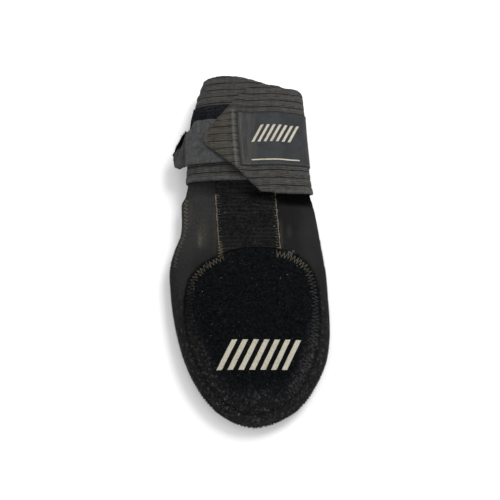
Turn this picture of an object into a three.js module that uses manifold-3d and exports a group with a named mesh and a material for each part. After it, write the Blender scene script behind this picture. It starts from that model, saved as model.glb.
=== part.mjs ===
// A sliding mitt: a padded pocket that covers a whole hand, with a sewn-on striking panel, a strip of
// loop tape and a wide ribbed elastic strap that winds round the cuff and closes with a hook tab.
// Units are millimetres. The mitt lies on its palm side on z = 0, fingertips towards -Y, the wrist
// mouth towards +Y, and +Z is up out of the back of the hand.

import * as THREE from "three";
import { mergeVertices } from "three/addons/utils/BufferGeometryUtils.js";
import Module from "manifold-3d";

const wasm = await Module();
wasm.setup();

// Driving dimensions: the pocket
const HAND_LENGTH = 186; // fingertip to neck, where the strap begins
const CUFF_LENGTH = 93; // neck to wrist mouth
const HAND_WIDTH = 126;
const CUFF_WIDTH = 96;
const HAND_HEIGHT = 29;
const CUFF_HEIGHT = 35.5;
const NECK_DIP = 9; // how far the neck sags below the strap that bridges it
const SHELL_WALL = 3.2;
const HAND_ROUND = 2.3; // superellipse exponents of the sections
const CUFF_ROUND = 2.2;
const BELLY = 1.3; // how much deeper than the floor the underside would bulge if it weren't flattened

// Driving dimensions: the pieces sewn on the hand
const PANEL_THICKNESS = 2.4;
const PANEL_SIDE_MARGIN = 6.5;
const PANEL_TIP_MARGIN = 8;
const PANEL_NECK_MARGIN = 48.5; // bare neck between the panel's top edge and the strap
const STRIP_WIDTH = 48.3;
const STRIP_CENTRE_X = -0.4; // where it meets the panel
const STRIP_LEAN = 0.075; // how far it drifts to the left for each millimetre towards the wrist
const STRIP_THICKNESS = 1.5;
const STRIP_TUCK = 10; // how far the strip runs on under the strap
const EMBLEM_BAR_COUNT = 7;
const EMBLEM_BAR_WIDTH = 4.2;
const EMBLEM_BAR_PITCH = 8.3;
const EMBLEM_BAR_HEIGHT = 23;
const EMBLEM_CENTRE_X = 7;
const EMBLEM_FROM_TIP = 51;
const PRINT_THICKNESS = 0.5;
const PRINT_LEAN = 0.5; // sideways lean of a bar for each millimetre of its height

// Driving dimensions: the strap and what is sewn on it
const STRAP_WIDTH = 99;
const STRAP_THICKNESS = 2.2;
const RIB_COUNT = 15;
const RIB_DEPTH = 0.55;
const STRAP_SETBACK = 13.5; // from the neck to the strap's lower edge, at the strap's start
const STRAP_DRIFT = 11; // how far each turn slips towards the fingers
const STRAP_LEAN = 5; // how far each turn's upper side leans towards the fingers
const STRAP_SKEW = 2.5; // how far each turn's right side is nearer to the fingers
const STRAP_START = 70; // degrees round the cuff, from +X over the top
const STRAP_END = 510;
const TURN_RAMP = 38; // degrees over which it climbs onto its own start
const START_CUT = 11; // how far the hidden end's upper corner is cut back
const START_CUT_TO = 100; // degrees, where the cut ends
const FLAP_TAPER_LOWER = 44; // length of the pointed end along its lower edge
const FLAP_TAPER_UPPER = 33;
const FLAP_TIP_WIDTH = 17;
const FLAP_TIP_X = -35.5;
const LOOP_PATCH_THICKNESS = 0.8;
const LOOP_PATCH_FROM = 95; // degrees
const LOOP_PATCH_TO = 168;
const LOOP_PATCH_EDGE = 24; // from the strap's lower edge
const LOOP_PATCH_WIDTH = 43.5;
const HOOK_PAD_THICKNESS = 0.7;
const HOOK_PAD_OVERHANG = 2.2; // how far the hooks show past the tab's free end
const TAB_THICKNESS = 1.1;
const TAB_LENGTH = 57;
const TAB_WIDTH = 41;
const TAB_START = 100; // degrees, hidden under the flap
const TAB_LEAVES = 150; // degrees, where it leaves the cuff and sticks out
const TAB_EDGE = 14; // from the strap's lower edge
const LABEL_THICKNESS = 0.8;
const LABEL_FROM = 358; // degrees
const LABEL_TO = 456;
const LABEL_EDGE = 23.5; // from the strap's lower edge
const LABEL_WIDTH = 48.5;
const LABEL_BAR_WIDTH = 2.3;
const LABEL_BAR_PITCH = 5;
const LABEL_BAR_HEIGHT = 16;
const LABEL_BAR_CENTRE_X = 21;
const LABEL_BAR_EDGE = 53; // from the strap's lower edge to the middle of the bars
const LABEL_LINE_WIDTH = 1.1;
const LABEL_LINE_EDGE = 28;
const LABEL_LINE_LENGTH = 40;

// Driving dimensions: how the pieces meet
const CLEARANCE = 0.35;
const SEAT = STRAP_THICKNESS + CLEARANCE; // the strap passes under the cuff, so the cuff stands this high

// Fineness of the facets
const DEGREES_PER_FACET = 10;
const SHEET_FACET = 10; // across a sheet
const STRAP_INNER_FACETS = 6;
const TAB_FACETS = { along: 14, across: 4 };
const ROUND_FACETS = 5; // on each curve of an outline

// Sections of the hand. along is a share of HAND_LENGTH, left and right are shares of half of
// HAND_WIDTH, top, widest and under are heights as shares of HAND_HEIGHT, raised is a share of SEAT,
// and sag is the share by which the upper face falls towards the right edge.
const HAND_ROWS = [
  { along: 0.0, left: 0.063, right: 0.063, top: 0.31, widest: 0.31, under: 0.31, raised: 0, sag: 0 },
  { along: 0.011, left: -0.097, right: 0.23, top: 0.5, widest: 0.33, under: 0.155, raised: 0, sag: 0 },
  { along: 0.035, left: -0.267, right: 0.413, top: 0.63, widest: 0.345, under: 0.06, raised: 0, sag: 0 },
  { along: 0.058, left: -0.378, right: 0.532, top: 0.7, widest: 0.353, under: 0.02, raised: 0, sag: 0 },
  { along: 0.082, left: -0.462, right: 0.608, top: 0.75, widest: 0.36, under: 0, raised: 0, sag: 0 },
  { along: 0.155, left: -0.637, right: 0.784, top: 0.85, widest: 0.38, under: 0, raised: 0, sag: 0 },
  { along: 0.254, left: -0.79, right: 0.927, top: 0.925, widest: 0.4, under: 0, raised: 0, sag: 0 },
  { along: 0.355, left: -0.886, right: 0.986, top: 0.97, widest: 0.41, under: 0, raised: 0, sag: 0 },
  { along: 0.46, left: -0.956, right: 1.0, top: 1.0, widest: 0.415, under: 0, raised: 0, sag: 0 },
  { along: 0.56, left: -1.002, right: 0.987, top: 1.0, widest: 0.415, under: 0, raised: 0, sag: 0 },
  { along: 0.65, left: -1.03, right: 0.967, top: 0.985, widest: 0.415, under: 0, raised: 0, sag: 0 },
  { along: 0.705, left: -1.022, right: 0.946, top: 0.975, widest: 0.415, under: 0, raised: 0, sag: 0 },
  { along: 0.76, left: -0.978, right: 0.925, top: 0.965, widest: 0.415, under: 0, raised: 0, sag: 0 },
  { along: 0.82, left: -0.916, right: 0.905, top: 0.955, widest: 0.42, under: 0, raised: 0, sag: 0.04 },
  { along: 0.88, left: -0.9, right: 0.883, top: 0.95, widest: 0.425, under: 0, raised: 0.1, sag: 0.12 },
  { along: 0.94, left: -0.903, right: 0.857, top: 0.95, widest: 0.45, under: 0, raised: 0.5, sag: 0.24 },
  { along: 0.983, left: -0.893, right: 0.826, top: 0.945, widest: 0.5, under: 0, raised: 0.95, sag: 0.34 },
];

// Sections of the cuff. along is a share of CUFF_LENGTH, left and right are shares of half of
// CUFF_WIDTH, top is a share of CUFF_HEIGHT, dip a share of NECK_DIP and sag as above. The last row is
// beyond the mouth, where only the strap reaches.
const CUFF_WIDEST = 0.51; // height of the widest line, as a share of CUFF_HEIGHT
const CUFF_ROWS = [
  { along: 0.0, left: -1.12, right: 1.065, top: 0.953, dip: 1, sag: 0.36 },
  { along: 0.054, left: -1.098, right: 1.04, top: 0.963, dip: 0.82, sag: 0.3 },
  { along: 0.13, left: -1.075, right: 1.014, top: 0.979, dip: 0.38, sag: 0.16 },
  { along: 0.226, left: -1.062, right: 0.995, top: 0.995, dip: 0.06, sag: 0.04 },
  { along: 0.376, left: -1.058, right: 0.978, top: 1.0, dip: 0, sag: 0 },
  { along: 0.59, left: -1.038, right: 0.952, top: 1.0, dip: 0, sag: 0 },
  { along: 0.806, left: -0.988, right: 0.925, top: 0.989, dip: 0, sag: 0 },
  { along: 1.0, left: -0.9, right: 0.905, top: 0.963, dip: 0, sag: 0 },
  { along: 1.25, left: -0.775, right: 0.875, top: 0.92, dip: 0, sag: 0 },
];

// Outline of the striking panel. along is a share of its length from the tip, left and right are
// shares of half its width.
const PANEL_ROWS = [
  { along: 0.0, left: 0.07, right: 0.07 },
  { along: 0.01, left: -0.08, right: 0.221 },
  { along: 0.041, left: -0.239, right: 0.405 },
  { along: 0.069, left: -0.342, right: 0.52 },
  { along: 0.105, left: -0.435, right: 0.6 },
  { along: 0.192, left: -0.6, right: 0.765 },
  { along: 0.324, left: -0.757, right: 0.9 },
  { along: 0.45, left: -0.86, right: 0.965 },
  { along: 0.58, left: -0.915, right: 0.995 },
  { along: 0.7, left: -0.92, right: 0.99 },
  { along: 0.79, left: -0.885, right: 0.955 },
  { along: 0.855, left: -0.8, right: 0.9 },
  { along: 0.905, left: -0.66, right: 0.825 },
  { along: 0.945, left: -0.5, right: 0.72 },
  { along: 0.978, left: -0.3, right: 0.56 },
  { along: 1.0, left: -0.08, right: 0.3 },
];

// Outline of the hook tab, from its hidden end to its free one. along is a share of TAB_LENGTH,
// low and high are shares of TAB_WIDTH from its lower edge.
const TAB_ROWS = [
  { along: 0.0, low: 0.02, high: 0.97 },
  { along: 0.3, low: 0.0, high: 0.99 },
  { along: 0.5, low: 0.0, high: 1.0 },
  { along: 0.62, low: 0.01, high: 0.99 },
  { along: 0.71, low: 0.02, high: 0.86 },
  { along: 0.8, low: 0.03, high: 0.72 },
  { along: 0.89, low: 0.05, high: 0.6 },
  { along: 0.96, low: 0.1, high: 0.5 },
  { along: 1.0, low: 0.2, high: 0.36 },
];

const NECK_Y = HAND_LENGTH;

const handRow = (r) => ({
  y: r.along * HAND_LENGTH,
  left: (r.left * HAND_WIDTH) / 2,
  right: (r.right * HAND_WIDTH) / 2,
  top: r.top * HAND_HEIGHT,
  widest: r.widest * HAND_HEIGHT,
  under: r.under * HAND_HEIGHT + r.raised * SEAT,
  sag: r.sag,
  round: HAND_ROUND,
});

// The strap's seat on the cuff, and the pocket itself, which dips under the seat near the neck.
const seatRow = (r) => ({
  y: NECK_Y + r.along * CUFF_LENGTH,
  left: (r.left * CUFF_WIDTH) / 2,
  right: (r.right * CUFF_WIDTH) / 2,
  top: r.top * CUFF_HEIGHT,
  widest: CUFF_WIDEST * CUFF_HEIGHT,
  under: SEAT,
  sag: 0,
  round: CUFF_ROUND,
});
const seatRows = CUFF_ROWS.map(seatRow);
const cuffRow = (r) => ({ ...seatRow(r), top: r.top * CUFF_HEIGHT - r.dip * NECK_DIP, sag: r.sag });
const pocketRows = [...HAND_ROWS.map(handRow), ...CUFF_ROWS.slice(0, -1).map(cuffRow)];

// The section at any y, straight between two rows.
function rowAtY(rows, y) {
  const next = rows.findIndex((r) => r.y > y);
  const i = next < 0 ? rows.length - 2 : Math.max(next - 1, 0);
  const share = (y - rows[i].y) / (rows[i + 1].y - rows[i].y);
  const blended = {};
  for (const key of Object.keys(rows[i]))
    blended[key] = THREE.MathUtils.lerp(rows[i][key], rows[i + 1][key], share);
  return blended;
}

// A point of a section, degrees round it from +X over the top, lifted off its surface.
function sectionPoint(row, degrees, lift, floor) {
  const angle = THREE.MathUtils.degToRad(degrees);
  const power = 2 / row.round;
  const across = Math.sign(Math.cos(angle)) * Math.abs(Math.cos(angle)) ** power;
  const up = Math.abs(Math.sin(angle)) ** power;
  const x = (row.left + row.right) / 2 + ((row.right - row.left) / 2 + lift) * across;
  const z =
    Math.sin(angle) >= 0
      ? row.widest + (row.top - row.widest + lift) * up * (1 - row.sag * Math.max(across, 0))
      : Math.max(row.widest - ((row.widest - row.under) * BELLY + lift) * up, floor);
  return [x, row.y, z];
}

// A closed skin of triangles, turned into a solid.
function solidFrom(points, triangles) {
  const mesh = new wasm.Mesh({
    numProp: 3,
    vertProperties: new Float32Array(points.flat()),
    triVerts: new Uint32Array(triangles.flat()),
  });
  return new wasm.Manifold(mesh);
}

// Joins two rows of point numbers with triangles, whatever their counts.
function zip(a, b, triangles) {
  let i = 0;
  let j = 0;
  while (i < a.length - 1 || j < b.length - 1) {
    const nextA = (i + 1) / (a.length - 1);
    const nextB = (j + 1) / (b.length - 1);
    if (nextA <= 1 && nextA <= nextB) triangles.push([a[i], a[++i], b[j]]);
    else triangles.push([a[i], b[j + 1], b[j++]]);
  }
}

// A run of rings round +Y, joined by triangles that face outwards.
function ringSkin(rings, points, triangles) {
  const numbers = rings.map((ring) => ring.map((p) => points.push(p) - 1));
  for (let j = 0; j < numbers.length - 1; j++)
    numbers[j].forEach((a, i) => {
      const k = (i + 1) % numbers[j].length;
      triangles.push([a, numbers[j + 1][i], numbers[j + 1][k]], [a, numbers[j + 1][k], numbers[j][k]]);
    });
  return numbers;
}

// Closes a ring with triangles to one point.
function fan(ring, point, points, triangles, facesBack) {
  const tip = points.push(point) - 1;
  ring.forEach((a, i) => {
    const b = ring[(i + 1) % ring.length];
    triangles.push(facesBack ? [tip, a, b] : [tip, b, a]);
  });
}

const middleOf = (ring) => [0, 1, 2].map((k) => ring.reduce((sum, p) => sum + p[k], 0) / ring.length);

function pocketRing(row, lift) {
  const ring = [];
  for (let degrees = 0; degrees < 360; degrees += DEGREES_PER_FACET)
    ring.push(sectionPoint(row, degrees, lift, row.under - lift));
  return ring;
}

// The pocket's outer form as a full solid, grown by lift. What lies on the pocket is cut from it.
function pocketForm(lift) {
  const points = [];
  const triangles = [];
  const rings = pocketRows.slice(1).map((row) => pocketRing(row, lift));
  const numbers = ringSkin(rings, points, triangles);
  const tip = pocketRows[0];
  fan(numbers[0], [tip.left, tip.y - lift, tip.widest], points, triangles, true);
  fan(numbers.at(-1), middleOf(rings.at(-1)), points, triangles, false);
  return solidFrom(points, triangles);
}

// The hollow pocket, open at the wrist. The hollow ends at the first section that leaves it room.
function handPocket() {
  const points = [];
  const triangles = [];
  const outer = pocketRows.slice(1).map((row) => pocketRing(row, 0));
  const hasRoom = (row) => row.y > 2 * SHELL_WALL && row.top - row.under > 4 * SHELL_WALL;
  const inner = pocketRows.filter(hasRoom).map((row) => pocketRing(row, -SHELL_WALL));
  const outerNumbers = ringSkin(outer, points, triangles);
  const facingIn = [];
  const innerNumbers = ringSkin(inner, points, facingIn);
  triangles.push(...facingIn.map(([a, b, c]) => [a, c, b]));
  fan(outerNumbers[0], [pocketRows[0].left, pocketRows[0].y, pocketRows[0].widest], points, triangles, true);
  fan(innerNumbers[0], middleOf(inner[0]), points, triangles, false);
  const rim = outerNumbers.at(-1);
  const lip = innerNumbers.at(-1);
  rim.forEach((a, i) => {
    const k = (i + 1) % rim.length;
    triangles.push([a, lip[i], lip[k]], [a, lip[k], rim[k]]);
  });
  return solidFrom(points, triangles);
}

// An upright prism over a plan outline.
const HAND_MIDDLE = 0.415; // height of the widest line, as a share of HAND_HEIGHT
const PRISM_TOP = 2 * (CUFF_HEIGHT + HAND_HEIGHT);
function prism(shape, from) {
  const settings = { depth: PRISM_TOP - from, bevelEnabled: false, curveSegments: ROUND_FACETS };
  const geometry = new THREE.ExtrudeGeometry(shape, settings);
  geometry.deleteAttribute("normal");
  geometry.deleteAttribute("uv");
  geometry.translate(0, 0, from);
  const merged = mergeVertices(geometry, 1e-4);
  const mesh = new wasm.Mesh({
    numProp: 3,
    vertProperties: merged.attributes.position.array,
    triVerts: new Uint32Array(merged.index.array),
  });
  return new wasm.Manifold(mesh);
}

// A piece of sheet that lies on the pocket's upper side, over a plan outline.
function sheetOnPocket(shape, lift, thickness) {
  const layer = pocketForm(lift + thickness).subtract(pocketForm(lift));
  return layer.intersect(prism(shape, HAND_MIDDLE * HAND_HEIGHT));
}

// A leaning bar in plan.
function leaningBar(x, y, width, height) {
  const lean = (PRINT_LEAN * height) / 2;
  return new THREE.Shape([
    new THREE.Vector2(x - lean - width / 2, y - height / 2),
    new THREE.Vector2(x - lean + width / 2, y - height / 2),
    new THREE.Vector2(x + lean + width / 2, y + height / 2),
    new THREE.Vector2(x + lean - width / 2, y + height / 2),
  ]);
}

function oblong(x0, x1, y0, y1) {
  return new THREE.Shape([
    new THREE.Vector2(x0, y0),
    new THREE.Vector2(x1, y0),
    new THREE.Vector2(x1, y1),
    new THREE.Vector2(x0, y1),
  ]);
}

// The striking panel
const PANEL_TOP_Y = NECK_Y - PANEL_NECK_MARGIN;
function panelOutline(grow) {
  const tip = PANEL_TIP_MARGIN - grow;
  const length = PANEL_TOP_Y + grow - tip;
  const half = HAND_WIDTH / 2 - PANEL_SIDE_MARGIN + grow;
  const spot = (r, side) => new THREE.Vector2(r[side] * half, tip + r.along * length);
  const right = new THREE.SplineCurve(PANEL_ROWS.map((r) => spot(r, "right")));
  const left = new THREE.SplineCurve(PANEL_ROWS.map((r) => spot(r, "left")).reverse());
  const steps = PANEL_ROWS.length - 1;
  return new THREE.Shape([...right.getPoints(steps), ...left.getPoints(steps).slice(0, -1)]);
}

const strikingPanel = () => sheetOnPocket(panelOutline(0), CLEARANCE, PANEL_THICKNESS);

// The strip runs from the panel's top edge, which it meets all along, to under the strap.
function loopStrip() {
  const to = NECK_Y + STRIP_TUCK;
  const centre = (y) => STRIP_CENTRE_X - STRIP_LEAN * (y - PANEL_TOP_Y);
  const from = PANEL_TOP_Y - STRIP_WIDTH / 2;
  const half = STRIP_WIDTH / 2;
  const shape = new THREE.Shape([
    new THREE.Vector2(centre(from) - half, from),
    new THREE.Vector2(centre(from) + half, from),
    new THREE.Vector2(centre(to) + half, to),
    new THREE.Vector2(centre(to) - half, to),
  ]);
  return sheetOnPocket(shape, CLEARANCE, STRIP_THICKNESS).subtract(prism(panelOutline(CLEARANCE), 0));
}

function emblemBar(n) {
  const x = EMBLEM_CENTRE_X + (n - (EMBLEM_BAR_COUNT - 1) / 2) * EMBLEM_BAR_PITCH;
  const shape = leaningBar(x, EMBLEM_FROM_TIP, EMBLEM_BAR_WIDTH, EMBLEM_BAR_HEIGHT);
  return sheetOnPocket(shape, PANEL_THICKNESS + 2 * CLEARANCE, PRINT_THICKNESS);
}

// How far the strap's inner face stands off its seat. It lies on the seat until it climbs onto its own
// start, and near its end it climbs again, over the loop patch, the hook pad and the hook tab.
const NEXT_TURN = STRAP_START + 360;
const TURN_CLIMB = { from: NEXT_TURN - TURN_RAMP, to: NEXT_TURN - 2 };
const STACK_CLIMB = { from: NEXT_TURN, to: LOOP_PATCH_FROM + 361 };
const climbed = (degrees, climb) => THREE.MathUtils.smoothstep(degrees, climb.from, climb.to);
function strapLift(degrees) {
  const turn = STRAP_THICKNESS + CLEARANCE;
  const stack = LOOP_PATCH_THICKNESS + HOOK_PAD_THICKNESS + TAB_THICKNESS + 3 * CLEARANCE;
  return CLEARANCE + climbed(degrees, TURN_CLIMB) * turn + climbed(degrees, STACK_CLIMB) * stack;
}

function strapLowerY(degrees) {
  const angle = THREE.MathUtils.degToRad(degrees);
  const drift = (STRAP_DRIFT * (degrees - STRAP_START)) / 360;
  return NECK_Y + STRAP_SETBACK - drift - STRAP_LEAN * Math.sin(angle) - STRAP_SKEW * Math.cos(angle);
}

// A point on the winding strap: edge is the distance from its lower edge, height is over its inner face.
function strapPoint(degrees, edge, height) {
  const row = rowAtY(seatRows, strapLowerY(degrees) + edge);
  return sectionPoint(row, degrees, strapLift(degrees) + height, Math.max(STRAP_THICKNESS - height, 0));
}

// A slab between two grids of points, low and high, which share their first index.
function slabFrom(low, high) {
  const points = [];
  const triangles = [];
  const number = (grid) => grid.map((line) => line.map((p) => points.push(p) - 1));
  const [a, b] = [number(low), number(high)];
  const face = (grid, flip) => {
    for (let i = 0; i < grid.length - 1; i++)
      for (let j = 0; j < grid[i].length - 1; j++) {
        const corners = [grid[i][j], grid[i][j + 1], grid[i + 1][j + 1], grid[i + 1][j]];
        const [p, q, r, s] = flip ? corners.reverse() : corners;
        triangles.push([p, q, r], [p, r, s]);
      }
  };
  face(b, false);
  face(a, true);
  const lineUp = (grid, at) => grid.map((line) => line.at(at));
  zip(a[0], b[0], triangles);
  zip(b.at(-1), a.at(-1), triangles);
  zip(lineUp(b, 0), lineUp(a, 0), triangles);
  zip(lineUp(a, -1), lineUp(b, -1), triangles);
  return solidFrom(points, triangles);
}

function span(from, to, count) {
  return Array.from({ length: count + 1 }, (_, i) => THREE.MathUtils.lerp(from, to, i / count));
}

const facetSpan = (from, to) => {
  const inside = [];
  for (let d = Math.ceil(from / DEGREES_PER_FACET) * DEGREES_PER_FACET; d < to; d += DEGREES_PER_FACET)
    if (d > from) inside.push(d);
  return [from, ...inside, to];
};

// A plain piece of sheet that lies over part of the strap, from one angle and edge distance to another.
function sheetOnStrap(from, to, edge, width, height, thickness) {
  const edges = span(edge, edge + width, Math.ceil(width / SHEET_FACET));
  const grid = (h) => facetSpan(from, to).map((d) => edges.map((e) => strapPoint(d, e, h)));
  return slabFrom(grid(height), grid(height + thickness));
}

// The ribbed strap, with its hidden end cut aslant and its free end cut to a blunt point.
function wristStrap() {
  const turns = facetSpan(STRAP_START, STRAP_END);
  const uncut = (d) => THREE.MathUtils.smoothstep(d, STRAP_START, START_CUT_TO);
  const width = (d) => STRAP_WIDTH - START_CUT * (1 - uncut(d));
  const plain = (d) => span(0, width(d), STRAP_INNER_FACETS).map((edge) => strapPoint(d, edge, 0));
  const ribHeight = (k) => STRAP_THICKNESS - (k % 2 ? 0 : RIB_DEPTH);
  const ribbed = (d) => span(0, width(d), 2 * RIB_COUNT).map((edge, k) => strapPoint(d, edge, ribHeight(k)));
  return slabFrom(turns.map(plain), turns.map(ribbed)).subtract(flapTrimming());
}

// Everything of the outermost turn that lies beyond the pointed outline.
function flapTrimming() {
  const lower = strapLowerY(STACK_CLIMB.to);
  const upper = lower + STRAP_WIDTH;
  const tip = (lower + upper) / 2;
  const blunt = FLAP_TIP_WIDTH / 2;
  const nose = FLAP_TIP_X + blunt / 3;
  const lowerCorner = FLAP_TIP_X + FLAP_TAPER_LOWER;
  const upperCorner = FLAP_TIP_X + FLAP_TAPER_UPPER;
  const beyond = STRAP_WIDTH / 2;
  const shape = new THREE.Shape();
  shape.moveTo(-CUFF_WIDTH, lower - beyond);
  shape.lineTo(lowerCorner, lower - beyond);
  shape.lineTo(lowerCorner, lower);
  shape.lineTo(nose, tip - blunt);
  shape.quadraticCurveTo(2 * FLAP_TIP_X - nose, tip, nose, tip + blunt);
  shape.lineTo(upperCorner, upper - blunt / 2);
  shape.lineTo(upperCorner + 2 * blunt, upper);
  shape.lineTo(upperCorner + 2 * blunt, upper + beyond);
  shape.lineTo(-CUFF_WIDTH, upper + beyond);
  const turns = facetSpan(NEXT_TURN, STRAP_END + DEGREES_PER_FACET);
  const edges = [-SHEET_FACET, ...span(0, STRAP_WIDTH, STRAP_INNER_FACETS), STRAP_WIDTH + SHEET_FACET];
  const grid = (height) => turns.map((d) => edges.map((edge) => strapPoint(d, edge, height)));
  const turn = slabFrom(grid(-CLEARANCE / 2), grid(2 * STRAP_THICKNESS));
  return turn.intersect(prism(shape, CUFF_WIDEST * CUFF_HEIGHT));
}

const ON_STRAP = STRAP_THICKNESS + CLEARANCE;
const loopPatch = () =>
  sheetOnStrap(
    LOOP_PATCH_FROM,
    LOOP_PATCH_TO,
    LOOP_PATCH_EDGE,
    LOOP_PATCH_WIDTH,
    ON_STRAP,
    LOOP_PATCH_THICKNESS,
  );

// The hook tab and the hook pad under it follow the cuff from under the flap to TAB_LEAVES, then run
// straight on.
function tabPoint(travel, edge, height) {
  const step = 2; // degrees
  let degrees = TAB_START;
  let here = strapPoint(degrees, edge, height);
  let left = travel;
  while (degrees < TAB_LEAVES) {
    const next = strapPoint(degrees + step, edge, height);
    const stride = Math.hypot(next[0] - here[0], next[2] - here[2]);
    const share = Math.min(left / stride, 1);
    const reached = here.map((v, k) => v + (next[k] - v) * share);
    if (share < 1) return reached;
    [degrees, here, left] = [degrees + step, next, left - stride];
  }
  const before = strapPoint(degrees - step, edge, height);
  const heading = Math.atan2(here[2] - before[2], here[0] - before[0]);
  return [here[0] + left * Math.cos(heading), here[1], here[2] + left * Math.sin(heading)];
}

function tabLayer(height, thickness, overhang) {
  const length = TAB_LENGTH + overhang;
  const tabRow = (r) => ({ y: r.along * length, low: r.low * TAB_WIDTH, high: r.high * TAB_WIDTH });
  const rows = TAB_ROWS.map(tabRow);
  const grid = (h) =>
    span(0, length, TAB_FACETS.along).map((travel) => {
      const { low, high } = rowAtY(rows, travel);
      const edges = span(TAB_EDGE + low, TAB_EDGE + high, TAB_FACETS.across);
      return edges.map((edge) => tabPoint(travel, edge, h));
    });
  return slabFrom(grid(height), grid(height + thickness));
}

const HOOK_PAD_HEIGHT = ON_STRAP + LOOP_PATCH_THICKNESS + CLEARANCE;
const hookPad = () => tabLayer(HOOK_PAD_HEIGHT, HOOK_PAD_THICKNESS, HOOK_PAD_OVERHANG);
const hookTab = () => tabLayer(HOOK_PAD_HEIGHT + HOOK_PAD_THICKNESS + CLEARANCE, TAB_THICKNESS, 0);

const labelPatch = () =>
  sheetOnStrap(LABEL_FROM, LABEL_TO, LABEL_EDGE, LABEL_WIDTH, ON_STRAP, LABEL_THICKNESS);

// A flat print on the label, over a plan outline.
function printOnLabel(shape) {
  const height = ON_STRAP + LABEL_THICKNESS + CLEARANCE;
  const from = LABEL_FROM + DEGREES_PER_FACET;
  const layer = sheetOnStrap(from, LABEL_TO, LABEL_EDGE, LABEL_WIDTH, height, PRINT_THICKNESS);
  return layer.intersect(prism(shape, CUFF_WIDEST * CUFF_HEIGHT));
}

const LABEL_LOWER_Y = strapLowerY(NEXT_TURN);
function labelBar(n) {
  const x = LABEL_BAR_CENTRE_X + (n - (EMBLEM_BAR_COUNT - 1) / 2) * LABEL_BAR_PITCH;
  return printOnLabel(leaningBar(x, LABEL_LOWER_Y + LABEL_BAR_EDGE, LABEL_BAR_WIDTH, LABEL_BAR_HEIGHT));
}

function labelLine() {
  const x0 = LABEL_BAR_CENTRE_X - LABEL_LINE_LENGTH / 2;
  const y0 = LABEL_LOWER_Y + LABEL_LINE_EDGE;
  return printOnLabel(oblong(x0, x0 + LABEL_LINE_LENGTH, y0, y0 + LABEL_LINE_WIDTH));
}

// Finishes
const finish = (color, roughness) => new THREE.MeshStandardMaterial({ color, roughness, metalness: 0 });
const NEOPRENE = finish(0x303130, 0.75);
const BRUSHED = finish(0x0c0d0f, 0.98);
const LOOP = finish(0x111114, 1);
const ELASTIC = finish(0x42413c, 0.85);
const RUBBER = finish(0x3b3e42, 0.6);
const HOOKS = finish(0x141415, 0.9);
const TAB_GREY = finish(0x46484a, 0.7);
const OFF_WHITE = finish(0xd6d2c0, 0.8);

function meshOf(solid, name, material) {
  const { vertProperties, triVerts, numProp } = solid.getMesh();
  const geometry = new THREE.BufferGeometry();
  const positions = new Float32Array((vertProperties.length / numProp) * 3);
  for (let i = 0; i < positions.length / 3; i++)
    positions.set(vertProperties.subarray(i * numProp, i * numProp + 3), i * 3);
  geometry.setAttribute("position", new THREE.BufferAttribute(positions, 3));
  geometry.setIndex(new THREE.BufferAttribute(triVerts, 1));
  geometry.computeVertexNormals();
  const mesh = new THREE.Mesh(geometry, material);
  mesh.name = name;
  return mesh;
}

const hand = new THREE.Group();
hand.add(meshOf(handPocket(), "hand_pocket", NEOPRENE));
hand.add(meshOf(strikingPanel(), "striking_panel", BRUSHED));
hand.add(meshOf(loopStrip(), "loop_strip", LOOP));
for (let n = 0; n < EMBLEM_BAR_COUNT; n++) hand.add(meshOf(emblemBar(n), `panel_bar_${n + 1}`, OFF_WHITE));

const closure = new THREE.Group();
closure.add(meshOf(wristStrap(), "wrist_strap", ELASTIC));
closure.add(meshOf(loopPatch(), "loop_patch", LOOP));
closure.add(meshOf(hookPad(), "hook_pad", HOOKS));
closure.add(meshOf(hookTab(), "hook_tab", TAB_GREY));
closure.add(meshOf(labelPatch(), "label_patch", RUBBER));
for (let n = 0; n < EMBLEM_BAR_COUNT; n++) closure.add(meshOf(labelBar(n), `label_bar_${n + 1}`, OFF_WHITE));
closure.add(meshOf(labelLine(), "label_line", OFF_WHITE));

// The origin is under the middle of the whole mitt.
const mitt = new THREE.Group();
mitt.add(hand, closure);
const reach = new THREE.Box3().setFromObject(mitt);
mitt.position.set(-(reach.min.x + reach.max.x) / 2, -(reach.min.y + reach.max.y) / 2, -reach.min.z);

export default mitt;
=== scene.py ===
"""The looks of a sliding mitt that lies palm down: a padded neoprene pocket with a brushed striking panel,
a strip of loop tape and a ribbed elastic strap, wound round the cuff and closed by a creased hook tab.

Shapes are worked out in the mitt's own millimetres: fingertip at y = 0, the neck at y = HAND_LENGTH, x = 0 on
the centre line and z = 0 on the surface it lies on. to_frame() turns them into the frame's metres.
"""

import math

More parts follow.
